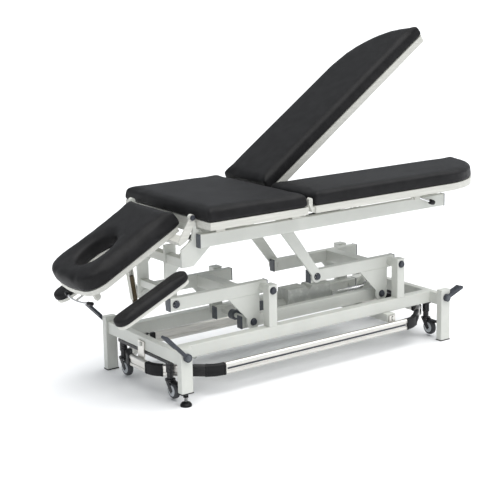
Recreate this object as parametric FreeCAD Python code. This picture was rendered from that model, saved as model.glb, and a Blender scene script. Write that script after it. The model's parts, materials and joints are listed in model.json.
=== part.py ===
"""Electric treatment couch: a parallelogram lift on a tube base, with a drooping head section,
a fixed middle section and two leg sections.

Working frame while modelling: X runs from the head-end posts to the foot end, Y from the couch's
centre plane (minus is the near side), Z up from the floor. Everything is moved at the end, so that
the origin is the middle of the bounding box on the floor. Lengths are millimetres.
"""
import FreeCAD
import Part
import math
import os
from FreeCAD import Vector

# Base frame
base_length = 1360.0
base_width = 586.0
post_x = 50.0
post_y = 30.0
post_top = 223.0
cap_thickness = 4.0
foot_cap = 3.0
tube_wall = 2.5
beam_bottom = 153.0
beam_height = 50.0
end_beam_depth = 30.0
side_beam_width = 40.0
side_beam_outer = 210.0

# Lift: two bell-crank arms between the base and the upper frame
pivot_head_x = 484.0
pivot_spacing = 670.0
pivot_z = 348.0
arm_reach = 400.0
arm_tail = 24.0
arm_thickness = 30.0
arm_height = 50.0
arm_outer = 137.0
arm_cross_offset = 120.0
arm_cross_size = 50.0
crank_back = 42.0
crank_drop = 135.0
crank_radius = 30.0
gusset_reach = 159.0
gusset_thickness = 8.0
lift_post_size = 40.0
lift_post_top = 371.0
pin_radius = 10.0
bolt_radius = 8.0
running_gap = 0.05
side_gap = 0.5
retaining_ring = 1.9
tie_outer = 104.0
tie_thickness = 31.0
tie_height = 50.0
tie_sag = 6.0

# Upper frame
upper_bottom = 575.0
upper_height = 51.0
upper_width = 25.0
upper_inner = 213.0
upper_head_x = 132.0
upper_foot_x = 1371.0
cross_height = 30.0
cross_width = 50.0
flat_bar_width = 50.0
flat_bar_thickness = 10.0
strut_top_x = 605.0
deck_bottom = 651.0
deck_thickness = 28.0
pad_thickness = 48.0
couch_width = 620.0

# Head section, level about its pivot and then drooped
head_pivot = Vector(112.0, 0.0, 690.0)
head_droop = 28.4
head_width = 320.0
head_length = 465.0
head_pad_low = -25.0
head_pad_thickness = 62.0
head_deck_thickness = 20.0
head_deck_inset = 6.0
head_end_radius = 80.0
head_end_bow = 6.0
head_pad_set_back = 18.0
head_deck_set_back = 40.0
face_hole_x = -304.0
face_hole_half_length = 92.0
face_hole_half_width = 66.0
face_hole_margin = 6.0
hinge_bar_low_x = -95.0
hinge_bar_high_x = -60.0
hinge_bar_height = 16.0
hinge_lug_thickness = 8.0
hinge_lug_eye = 12.0
hinge_pin_radius = 5.0

# Gas spring that holds the head section
spring_foot = Vector(330.0, 0.0, 556.0)
spring_top_local = Vector(-75.0, 0.0, -95.0)
spring_pin_radius = 4.0
spring_barrel_radius = 10.0
spring_barrel_start = 22.0
spring_barrel_end = 165.0
spring_rod_radius = 4.5
spring_rod_length = 205.0
spring_eye_play = 4.5

# Handle that lets the head section's gas spring go, under the section's free end
release_pivot_x = -400.0
release_drop = 36.0
release_bar_x = -472.0
release_bar_bow = 9.5
release_bar_reach = 76.0
release_bar_radius = 4.0
release_grip_radius = 7.0
release_grip_length = 26.0
release_ear_inner = 9.0
release_ear_thickness = 5.0
end_block_x = -428.0
end_block_half = 11.0
end_block_inner = 98.0
end_block_outer = 118.0
end_block_drop = 32.0

# Arm rests, in their own slope
arm_rest_low = Vector(-221.7, 0.0, 326.9)
arm_rest_length = 334.0
arm_rest_slope = 24.9
arm_rest_inner = 193.6
arm_rest_width = 76.0
arm_rest_board = 12.0
arm_rest_pad = 28.0
arm_guide_x = -284.4
arm_guide_lean = 20.2
arm_guide_length = 112.0
arm_guide_width = 24.0
arm_guide_outer = 154.0
arm_guide_depth = 16.0
arm_guide_wall = 3.0
arm_stem_drop = 22.0
arm_stem_width = 17.0
arm_stem_depth = 11.0
arm_foot_width = 35.0
arm_foot_thickness = 6.0
arm_foot_reach = 60.0

# Middle and leg sections
mid_head_x = 127.0
leg_pivot = Vector(606.0, 0.0, 703.0)
leg_gap = 13.0
leg_end_x = 1644.0
far_leg_raise = 35.0
hinge_eye = 9.0
leg_strut_foot = Vector(645.0, 0.0, 612.0)
leg_strut_top = Vector(915.0, 0.0, 630.0)
leg_strut_y = 193.0
lever_pivot = Vector(1182.0, 0.0, 640.0)
lever_y = 262.0

# Drive: an electric cylinder between the head crank and the slotted bracket
eye_rest = Vector(1150.0, 0.0, 213.0)
eye_end = Vector(1158.1, 0.0, 235.4)
eye_pin = 8.0
slot_radius = 11.5
drive_rod_radius = 11.0

# Foot rail
rail_outer = 264.0
rail_overhang = 15.0
rail_thickness = 18.0
rail_bottom = 76.0
rail_height = 46.0
rail_cut_x = 192.4
rail_cut_y = 164.2
elbow_tangent = 40.0
elbow_skin = 1.5
elbow_lip = 3.0
elbow_rise = 0.5
groove_half = 7.0
groove_depth = 2.5
hanger_screw_z = 176.0

# Retractable castors
castor_x = 25.0
castor_y = 172.0
castor_trail = 25.0
wheel_radius = 31.0
wheel_width = 22.0
wheel_lift = 7.0
carrier_pivot_x = 135.0
carrier_bar = 12.0
shaft_z = 190.0
shaft_radius = 8.0
follower_y = 60.0
follower_radius = 5.0

# Screw foot under the near head post
screw_foot_gap = 51.0

half_width = base_width / 2
centre_x = base_length / 2
post_inner = half_width - post_y
beam_top = beam_bottom + beam_height
side_beam_inner = side_beam_outer - side_beam_width
pivot_foot_x = pivot_head_x + pivot_spacing
arm_inner = arm_outer - arm_thickness
deck_top = deck_bottom + deck_thickness
pad_top = deck_top + pad_thickness
upper_top = upper_bottom + upper_height
couch_half = couch_width / 2
head_half = head_width / 2
head_deck_low = head_pivot.z + head_pad_low - head_deck_thickness
carrier_top = beam_bottom - 1.5
carrier_bottom = carrier_top - carrier_bar
carrier_pivot_z = (carrier_top + carrier_bottom) / 2
carrier_arm_outer = side_beam_inner
lug_inner = side_beam_inner + 2.0

axis_y = Vector(0, 1, 0)
nodes = {}


def box(x0, x1, y0, y1, z0, z1):
    """A block between two corners."""
    return Part.makeBox(x1 - x0, y1 - y0, z1 - z0, Vector(x0, y0, z0))


def rod(start, end, radius):
    """A round bar from start to end."""
    along = end - start
    return Part.makeCylinder(radius, along.Length, start, along)


def rod_y(x, y0, y1, z, radius):
    """A round bar along Y."""
    return rod(Vector(x, y0, z), Vector(x, y1, z), radius)


def bolt_head(x, y0, y1, z, radius):
    """A hexagonal bolt head or nut along Y; radius is out to its corners."""
    turns = [math.radians(turn) for turn in range(0, 361, 60)]
    corners = [Vector(x + radius * math.cos(turn), y0, z + radius * math.sin(turn)) for turn in turns]
    return Part.Face(Part.makePolygon(corners)).extrude(Vector(0, y1 - y0, 0))


def mirror_y(shape):
    """The same shape on the other side of the centre plane."""
    return shape.mirror(Vector(0, 0, 0), axis_y)


def mirror_x(shape):
    """The same shape at the other end of the base."""
    return shape.mirror(Vector(centre_x, 0, 0), Vector(1, 0, 0))


def turned(shape, pivot, degrees):
    """A copy turned about a line along Y through the pivot; positive lifts what lies towards the head."""
    copy = shape.copy()
    copy.rotate(pivot, axis_y, degrees)
    return copy


def tube(x0, x1, y0, y1, z0, z1, along, wall=tube_wall, corner=3.0):
    """A rectangular tube with rounded long edges, open at both ends."""
    solid = box(x0, x1, y0, y1, z0, z1)
    long_edges = [e for e in solid.Edges if abs(e.tangentAt(0).dot(along)) > 0.99]
    solid = solid.makeFillet(corner, long_edges)
    inset = [0.0 if abs(part) > 0.5 else wall for part in along]
    bore = box(x0 + inset[0], x1 - inset[0], y0 + inset[1], y1 - inset[1], z0 + inset[2], z1 - inset[2])
    return solid.cut(bore)


def plate(outline, y0, y1):
    """A flat plate from y0 to y1: a closed outline of (x, z) points, where an arc is a (via, end) pair."""
    edges = []
    start = Vector(outline[0][0], y0, outline[0][1])
    here = start
    for item in outline[1:]:
        if len(item) == 4:
            via = Vector(item[0], y0, item[1])
            target = Vector(item[2], y0, item[3])
            edges.append(Part.Arc(here, via, target).toShape())
        else:
            target = Vector(item[0], y0, item[1])
            edges.append(Part.makeLine(here, target))
        here = target
    if (here - start).Length > 0.001:
        edges.append(Part.makeLine(here, start))
    face = Part.Face(Part.Wire(edges))
    return face.extrude(Vector(0, y1 - y0, 0))


def strap(start, end, width, y0, y1):
    """A flat bar between two points in the XZ plane, rounded at both ends."""
    along = Vector(end[0] - start[0], 0, end[1] - start[1])
    along.normalize()
    side = Vector(-along.z, 0, along.x) * (width / 2)
    back = along * (width / 2)
    a = (start[0] + side.x, start[1] + side.z)
    b = (start[0] - side.x, start[1] - side.z)
    c = (end[0] - side.x, end[1] - side.z)
    d = (end[0] + side.x, end[1] + side.z)
    start_via = (start[0] - back.x, start[1] - back.z)
    end_via = (end[0] + back.x, end[1] + back.z)
    return plate([a, (*start_via, *b), c, (*end_via, *d)], y0, y1)


def add(name, *pieces):
    """Keep one named piece, which may hold several solids of the same part."""
    nodes[name] = pieces[0] if len(pieces) == 1 else Part.makeCompound(list(pieces))


def add_pair(name, *pieces):
    """Keep a piece that is drawn on the far side, and its mirror image on the near side."""
    add(name + "_far", *pieces)
    add(name + "_near", *[mirror_y(piece) for piece in pieces])


def base_frame():
    """Two H-shaped end frames and two long beams."""
    post_solids = []
    for side in (-1, 1):
        y0, y1 = sorted((side * post_inner, side * half_width))
        bottom = screw_foot_gap if side < 0 else foot_cap
        post = tube(0, post_x, y0, y1, bottom, post_top - cap_thickness, Vector(0, 0, 1))
        post = post.cut(rod_y(castor_x, y0 - 1, y1 + 1, shaft_z, shaft_radius + running_gap))
        post_solids.append(post)
        post_solids.append(box(0, post_x, y0, y1, post_top - cap_thickness, post_top))
    far_foot = box(0, post_x, post_inner, half_width, 0, foot_cap)
    near_foot = box(0, post_x, -half_width, -post_inner, screw_foot_gap - foot_cap, screw_foot_gap)
    near_foot = near_foot.cut(rod(Vector(post_x / 2, -half_width + post_y / 2, 0),
                                  Vector(post_x / 2, -half_width + post_y / 2, 100), 6 + running_gap))
    near_nut = box(tube_wall, post_x - tube_wall, -half_width + tube_wall, -post_inner - tube_wall,
                   screw_foot_gap, screw_foot_gap + 12)
    screw_hole = rod(Vector(post_x / 2, -half_width + post_y / 2, screw_foot_gap - 1),
                     Vector(post_x / 2, -half_width + post_y / 2, screw_foot_gap + 13), 6 + running_gap)
    near_nut = near_nut.cut(screw_hole)
    front = (post_x - end_beam_depth) / 2
    beam = tube(front, front + end_beam_depth, -post_inner, post_inner, beam_bottom, beam_top, axis_y)
    for side in (-1, 1):
        reach = follower_radius + 3
        slot = box(castor_x - reach, castor_x + reach, side * follower_y - reach, side * follower_y + reach,
                   beam_bottom - 1, beam_bottom + tube_wall + 1)
        beam = beam.cut(slot)
    screw = rod(Vector(front, 0, hanger_screw_z), Vector(front - 7 - side_gap, 0, hanger_screw_z), 4)
    head_x = front - 7 - side_gap
    screw_head = box(front - 12, head_x, -7, 7, hanger_screw_z - 7, hanger_screw_z + 7)
    add("end_frame_head", *post_solids, far_foot, near_foot, near_nut, beam, screw, screw_head)
    plain_feet = []
    foot_posts = []
    for side in (-1, 1):
        y0, y1 = sorted((side * post_inner, side * half_width))
        post = tube(0, post_x, y0, y1, foot_cap, post_top - cap_thickness, Vector(0, 0, 1))
        post = post.cut(rod_y(castor_x, y0 - 1, y1 + 1, shaft_z, shaft_radius + running_gap))
        foot_posts.append(mirror_x(post))
        foot_posts.append(mirror_x(box(0, post_x, y0, y1, post_top - cap_thickness, post_top)))
        plain_feet.append(mirror_x(box(0, post_x, y0, y1, 0, foot_cap)))
    add("end_frame_foot", *foot_posts, *plain_feet, *[mirror_x(piece) for piece in (beam, screw, screw_head)])

    start = front + end_beam_depth
    side_beam = tube(start, base_length - start, side_beam_inner, side_beam_outer, beam_bottom, beam_top,
                     Vector(1, 0, 0))
    lug = plate([(carrier_pivot_x - 15, beam_bottom), (carrier_pivot_x + 15, beam_bottom),
                 (carrier_pivot_x + 9, carrier_pivot_z - 4),
                 (carrier_pivot_x, carrier_pivot_z - 12, carrier_pivot_x - 9, carrier_pivot_z - 4)],
                lug_inner, lug_inner + 6)
    lug_pin = rod_y(carrier_pivot_x, carrier_arm_outer - 12, lug_inner, carrier_pivot_z, 5)
    ends = [lug, lug_pin]
    add_pair("base_side", side_beam, *ends, *[mirror_x(piece) for piece in ends], *lift_posts())


def lift_posts():
    """Two short posts on a long beam, each with the stub that an arm turns on."""
    pieces = []
    for x in (pivot_head_x, pivot_foot_x):
        half = lift_post_size / 2
        post = tube(x - half, x + half, side_beam_inner, side_beam_outer, beam_top,
                    lift_post_top - cap_thickness, Vector(0, 0, 1))
        cap = box(x - half, x + half, side_beam_inner, side_beam_outer,
                  lift_post_top - cap_thickness, lift_post_top)
        spacer = rod_y(x, arm_outer + side_gap, side_beam_inner, pivot_z, 17)
        stub = rod_y(x, arm_inner + side_gap, arm_outer + side_gap, pivot_z, pin_radius)
        head = bolt_head(x, side_beam_outer, side_beam_outer + 6, pivot_z, 12)
        pieces += [post, cap, spacer, stub, head]
    return pieces


def low_cross():
    """The cross tube under the long beams, which carries the rail and the drive's slotted bracket."""
    tube_x0 = 1052.0
    tube_x1 = 1096.0
    reach = 235.0
    bottom = 120.0
    crossing = tube(tube_x0, tube_x1, -reach, reach, bottom, beam_bottom, axis_y)
    end_plugs = [box(tube_x0, tube_x1, y, y + 3, bottom, beam_bottom) for y in (-reach - 3, reach)]
    rail_pins = [rod_y((tube_x0 + tube_x1) / 2, side * (reach + 3), side * (reach + 14), 136, 4)
                 for side in (-1, 1)]
    plugs = [plug.fuse(pin) for plug, pin in zip(end_plugs, rail_pins)]
    cheek_outline = [(tube_x0 + 4, beam_bottom), (tube_x1 - 2, beam_bottom), (1180, 196),
                     (1186, 206), (1186, 248), (1180, 256, 1172, 258), (1140, 258), (1130, 250)]
    slot = strap((eye_rest.x, eye_rest.z), (eye_end.x, eye_end.z), 2 * slot_radius, -60, 60)
    cheeks = []
    for side in (-1, 1):
        y0, y1 = sorted((side * 20, side * 27))
        cheeks.append(plate(cheek_outline, y0, y1).cut(slot))
    add("low_cross_tube", crossing, *plugs, *cheeks)


def lift_arm(index, pivot_x, stub_inner):
    """One bell crank: two tube arms with gussets, a cross tube and the crank's shaft.

    Where the drive's rod passes between the arms, the shaft is two stubs that end at stub_inner.
    """
    left = pivot_x - arm_reach
    cap_x = left - arm_tail - cap_thickness
    z0 = pivot_z - arm_height / 2
    tail_x = pivot_x + arm_tail
    arm = tube(left - arm_tail, tail_x, arm_inner, arm_outer, z0, z0 + arm_height, Vector(1, 0, 0))
    arm = arm.cut(rod_y(pivot_x, 0, 200, pivot_z, pin_radius + running_gap))
    arm = arm.cut(rod_y(left, 0, 200, pivot_z, bolt_radius + running_gap))
    caps = [box(cap_x, left - arm_tail, arm_inner, arm_outer, z0, z0 + arm_height),
            box(tail_x, tail_x + cap_thickness, arm_inner, arm_outer, z0, z0 + arm_height)]
    pin_x = pivot_x - crank_back
    pin_z = pivot_z - crank_drop
    gusset_y = arm_outer - 2 - gusset_thickness
    gusset = plate([(pivot_x - gusset_reach, z0), (pin_x - crank_radius, pin_z + 18),
                    (pin_x - crank_radius, pin_z),
                    (pin_x, pin_z - crank_radius, pin_x + crank_radius, pin_z),
                    (pin_x + crank_radius, z0)], gusset_y, gusset_y + gusset_thickness)
    shaft_head = bolt_head(pin_x, gusset_y + gusset_thickness, arm_outer, pin_z, 12)
    name = f"lift_arm_{index}"
    far_side = [arm, *caps, gusset, shaft_head]
    add(name + "_sides", *far_side, *[mirror_y(piece) for piece in far_side])
    cross_x = pivot_x - arm_cross_offset
    half = arm_cross_size / 2
    cross = tube(cross_x - half, cross_x + half, -arm_inner, arm_inner,
                 pivot_z - half, pivot_z + half, axis_y)
    if stub_inner > 0:
        stub = rod_y(pin_x, stub_inner, gusset_y, pin_z, pin_radius)
        add(name + "_cross", cross, stub, mirror_y(stub))
    else:
        add(name + "_cross", cross, rod_y(pin_x, -gusset_y, gusset_y, pin_z, pin_radius))


def tie_bars():
    """Two bars that make both cranks turn together."""
    x0 = pivot_head_x - crank_back
    x1 = pivot_foot_x - crank_back
    pin_z = pivot_z - crank_drop
    end = 32.0
    z0 = pin_z - tie_sag - tie_height / 2
    inner = tie_outer - tie_thickness
    bar = tube(x0 - end, x1 + end, inner, tie_outer, z0, z0 + tie_height, Vector(1, 0, 0))
    for x in (x0, x1):
        bush = rod_y(x, inner, tie_outer, pin_z, 14)
        bar = bar.fuse(bush).cut(rod_y(x, 0, 200, pin_z, pin_radius + running_gap))
    caps = [box(x0 - end - cap_thickness, x0 - end, inner, tie_outer, z0, z0 + tie_height),
            box(x1 + end, x1 + end + cap_thickness, inner, tie_outer, z0, z0 + tie_height)]
    add("tie_bars", bar, mirror_y(bar), *caps, *[mirror_y(cap) for cap in caps])


def drive():
    """The electric cylinder: motor, gear housing, tube and rod."""
    pin = Vector(pivot_head_x - crank_back, 0, pivot_z - crank_drop)
    eye = rod_y(pin.x, -14, 14, pin.z, 20)
    neck = box(pin.x + 8, pin.x + 40, -14, 14, pin.z - 14, pin.z + 14)
    clevis = eye.fuse(neck).cut(rod_y(pin.x, -20, 20, pin.z, pin_radius + running_gap))
    motor = rod(pin + Vector(40, 0, 0), pin + Vector(150, 0, 0), 32)
    motor = motor.makeChamfer(5, [edge for edge in motor.Edges if edge.Curve.TypeId == "Part::GeomCircle"])
    neck_tube = rod(pin + Vector(150, 0, 0), pin + Vector(248, 0, 0), 22)
    housing_x0 = pin.x + 248
    housing_x1 = pin.x + 470
    housing = box(housing_x0, housing_x1, -36, 36, pin.z - 24, pin.z + 66)
    housing = housing.makeFillet(6, [edge for edge in housing.Edges if abs(edge.tangentAt(0).x) > 0.9])
    window = rod_y((housing_x0 + housing_x1) / 2, -60, 60, pin.z + 66, 14)
    housing = housing.cut(window)
    barrel = rod(Vector(housing_x1, 0, pin.z), Vector(housing_x1 + 28, 0, pin.z), 20)
    bore = rod(pin + Vector(252, 0, 0), pin + Vector(520, 0, 0), drive_rod_radius + running_gap)
    add("drive_motor", clevis, motor)
    add("drive_housing", neck_tube, housing.cut(bore), barrel.cut(bore))
    thrust = rod(Vector(housing_x1 - 130, 0, pin.z), eye_rest - Vector(14, 0, 0), drive_rod_radius)
    rod_eye = rod_y(eye_rest.x, -15, 15, eye_rest.z, 18)
    rod_eye = rod_eye.fuse(rod_y(eye_rest.x, -32, 32, eye_rest.z, eye_pin))
    rod_eye = rod_eye.fuse(thrust)
    add("drive_rod", rod_eye)


def foot_rail():
    """The ring round the base that is pressed with a foot, in straight runs and dark elbows."""
    inset = rail_thickness / 2
    end_x = -rail_overhang + inset
    side_y = rail_outer - inset
    corner_a = Vector(-rail_overhang + rail_cut_x, side_y, 0)
    corner_b = Vector(end_x, rail_outer - rail_cut_y, 0)
    diagonal = corner_b - corner_a
    diagonal.normalize()
    points = [Vector(centre_x, side_y, 0), corner_a, corner_b, Vector(end_x, 0, 0)]

    def section(at, along, skin, groove):
        """The rail's profile across its run, with bevelled corners and a groove along both faces."""
        across = Vector(0, 0, 1).cross(along)
        half = rail_thickness / 2 + skin
        middle = Vector(at.x, at.y, rail_bottom + rail_height / 2)
        up = rail_height / 2 + (elbow_rise if skin > 0 else 0)
        quarter_points = [(half - 4, up), (half, up - 4), (half, groove_half + 1.5),
                          (half - groove, groove_half)]
        below = [(out, -high) for out, high in reversed(quarter_points)]
        right = quarter_points + below
        left = [(-out, high) for out, high in reversed(right)]
        corners = [middle + across * out + Vector(0, 0, high) for out, high in right + left]
        return Part.Face(Part.makePolygon(corners + [corners[0]]))

    def run(start, end):
        """A straight silver run."""
        along = end - start
        direction = Vector(along)
        direction.normalize()
        return section(start, direction, 0, groove_depth).extrude(along)

    def elbow(before, corner, after):
        """A dark elbow round one corner."""
        into = corner - before
        into.normalize()
        out = after - corner
        out.normalize()
        turn = into.getAngle(out)
        radius = elbow_tangent / math.tan(turn / 2)
        start = corner - into * elbow_tangent
        left = Vector(-into.y, into.x, 0)
        sense = 1 if left.dot(out) > 0 else -1
        centre = start + left * (sense * radius)
        bend = section(start, into, elbow_skin, 0.2).revolve(centre, Vector(0, 0, sense), math.degrees(turn))
        end = corner + out * elbow_tangent
        lips = [section(start, into, elbow_lip, 0.2).extrude(into * 7),
                section(end, out, elbow_lip, 0.2).extrude(out * -7)]
        return bend.fuse(lips)

    quarter = {
        "side": run(points[0], corner_a - (corner_a - points[0]).normalize() * elbow_tangent),
        "elbow_a": elbow(points[0], points[1], points[2]),
        "diagonal": run(corner_a + diagonal * elbow_tangent, corner_b - diagonal * elbow_tangent),
        "elbow_b": elbow(points[1], points[2], points[3]),
        "end": run(corner_b + Vector(0, -elbow_tangent, 0), points[3]),
    }
    side_run = quarter["side"].fuse(mirror_x(quarter["side"])).removeSplitter()
    guide_x = 1074.0
    guide = plate([(guide_x - 16, rail_bottom + 20), (guide_x + 16, rail_bottom + 20), (guide_x + 16, 148),
                   (guide_x - 16, 148)], side_y - inset - 7, side_y - inset)
    guide = guide.cut(strap((guide_x, 131), (guide_x, 141), 9, 200, 300))
    add_pair("rail_side", side_run, guide)
    end_run = quarter["end"].fuse(mirror_y(quarter["end"])).removeSplitter()
    diagonals = [quarter["diagonal"], mirror_y(quarter["diagonal"])]
    elbows = [quarter["elbow_a"], quarter["elbow_b"]]
    elbows += [mirror_y(piece) for piece in elbows]
    hanger_x = end_x + inset
    hanger = box(hanger_x, hanger_x + 6, -22, 22, rail_bottom + 20, 188)
    hanger = hanger.cut(box(hanger_x - 1, hanger_x + 7, -4.5, 4.5, hanger_screw_z - 9, hanger_screw_z + 9))
    head_end = [end_run, *diagonals, hanger]
    add("rail_turn_head", *head_end)
    add("rail_turn_foot", *[mirror_x(piece) for piece in head_end])
    add("rail_elbows_head", *elbows)
    add("rail_elbows_foot", *[mirror_x(piece) for piece in elbows])


def screw_foot():
    """The levelling foot: a disc and its threaded stem."""
    x = post_x / 2
    y = -half_width + post_y / 2
    stem_top = screw_foot_gap + 30
    profile = [(0, 0), (22, 0), (22, 6), (17, 13), (9, 16), (6, 18), (6, stem_top), (0, stem_top)]
    corners = [Vector(x + radius, y, z) for radius, z in profile]
    foot = Part.Face(Part.makePolygon(corners + [corners[0]])).revolve(Vector(x, y, 0), Vector(0, 0, 1), 360)
    nut_corners = [Vector(x + 11 * math.cos(math.radians(turn)), y + 11 * math.sin(math.radians(turn)), 34)
                   for turn in range(0, 361, 60)]
    nut = Part.Face(Part.makePolygon(nut_corners)).extrude(Vector(0, 0, 8))
    add("screw_foot", foot.fuse(nut))


def pedals():
    """A shaft through each end frame, with a foot lever outside each post."""
    def lever(tip_x, tip_z, drawn):
        """One lever on the far side of the head end."""
        y0 = half_width + side_gap
        y1 = y0 + 12
        shape = drawn.fuse(rod_y(castor_x, y0, y1, shaft_z, 16))
        tread = strap((tip_x, tip_z), (tip_x * 0.45 + castor_x * 0.55, tip_z * 0.45 + shaft_z * 0.55), 11,
                      post_inner + 9, y1)
        keep_out = box(-6, 200, 0, y0, 0, 400)
        return shape.fuse(tread.cut(keep_out))

    y0 = half_width + side_gap
    shaft = rod_y(castor_x, -y0, y0, shaft_z, shaft_radius)
    head_bar = strap((castor_x, shaft_z), (-64, 282), 13, y0, y0 + 12)
    head_lever = lever(-64, 282, head_bar)
    add("pedals_head", shaft, head_lever, mirror_y(head_lever))
    foot_bar = strap((castor_x, shaft_z), (-58, 222), 13, y0, y0 + 12)
    foot_lever = lever(-58, 222, foot_bar)
    add("pedals_foot", *[mirror_x(piece) for piece in (shaft, foot_lever, mirror_y(foot_lever))])


def castors():
    """A carrier across each end, two swivelling forks in it and a wheel in each fork."""
    front = (post_x - end_beam_depth) / 2
    housing_bottom = 104.0
    reach = castor_y + 15
    bar = box(front, front + end_beam_depth, -reach, reach, carrier_bottom, carrier_top)
    pieces = []
    for side in (-1, 1):
        kingpin_y = side * castor_y
        bore = rod(Vector(castor_x, kingpin_y, housing_bottom - 1),
                   Vector(castor_x, kingpin_y, carrier_top - 2), 6 + running_gap)
        bar = bar.cut(bore)
        housing = rod(Vector(castor_x, kingpin_y, housing_bottom),
                      Vector(castor_x, kingpin_y, carrier_bottom), 15)
        pieces.append(housing.cut(bore))
        y0, y1 = sorted((side * (carrier_arm_outer - 8), side * carrier_arm_outer))
        arm = box(front + end_beam_depth, carrier_pivot_x, y0, y1, carrier_bottom, carrier_top)
        arm = arm.fuse(rod_y(carrier_pivot_x, y0, y1, carrier_pivot_z, 9))
        pieces.append(arm.cut(rod_y(carrier_pivot_x, y0 - 1, y1 + 1, carrier_pivot_z, 5 + running_gap)))
        pieces.append(rod(Vector(castor_x, side * follower_y, carrier_top),
                          Vector(castor_x, side * follower_y, shaft_z - shaft_radius - 1), follower_radius))
    add("castor_carrier_head", bar, *pieces)
    add("castor_carrier_foot", *[mirror_x(piece) for piece in (bar, *pieces)])

    wheel_z = wheel_lift + wheel_radius
    plate_z = wheel_z + wheel_radius + 3
    for side_name, y in (("near", -castor_y), ("far", castor_y)):
        wheel_y = y - castor_trail
        leg_gap_x = wheel_width / 2 + 2
        crown_top = plate_z + 5
        race_top = housing_bottom - side_gap
        profile = [(0, plate_z), (20, plate_z), (20, crown_top), (12, crown_top), (12, race_top),
                   (6, race_top), (6, carrier_top - 4), (0, carrier_top - 4)]
        corners = [Vector(castor_x + radius, y, z) for radius, z in profile]
        crown = Part.Face(Part.makePolygon(corners + [corners[0]]))
        crown = crown.revolve(Vector(castor_x, y, 0), Vector(0, 0, 1), 360)
        legs = []
        for x0 in (castor_x - leg_gap_x - 3, castor_x + leg_gap_x):
            outline = [Vector(x0, y + 10, plate_z), Vector(x0, y - 15, plate_z),
                       Vector(x0, wheel_y - 9, wheel_z), Vector(x0, wheel_y, wheel_z - 10),
                       Vector(x0, wheel_y + 9, wheel_z - 2)]
            face = Part.Face(Part.makePolygon(outline + [outline[0]]))
            legs.append(face.extrude(Vector(3, 0, 0)))

        def along_axle(half_length, radius):
            """A round bar on the wheel's axis, the same length to both sides."""
            return rod(Vector(castor_x - half_length, wheel_y, wheel_z),
                       Vector(castor_x + half_length, wheel_y, wheel_z), radius)

        fork = [crown, *legs, along_axle(leg_gap_x, 4)]
        half = wheel_width / 2
        hub = along_axle(half + 1, 21).cut(along_axle(20, 4 + running_gap))
        tyre = along_axle(half, wheel_radius)
        tyre = tyre.makeChamfer(4, [edge for edge in tyre.Edges if edge.Curve.TypeId == "Part::GeomCircle"])
        tyre = tyre.cut(along_axle(20, 21))
        add(f"castor_fork_head_{side_name}", *fork)
        add(f"castor_wheel_head_{side_name}", hub, tyre)
        add(f"castor_fork_foot_{side_name}", *[mirror_x(piece) for piece in fork])
        add(f"castor_wheel_foot_{side_name}", mirror_x(hub), mirror_x(tyre))


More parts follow.
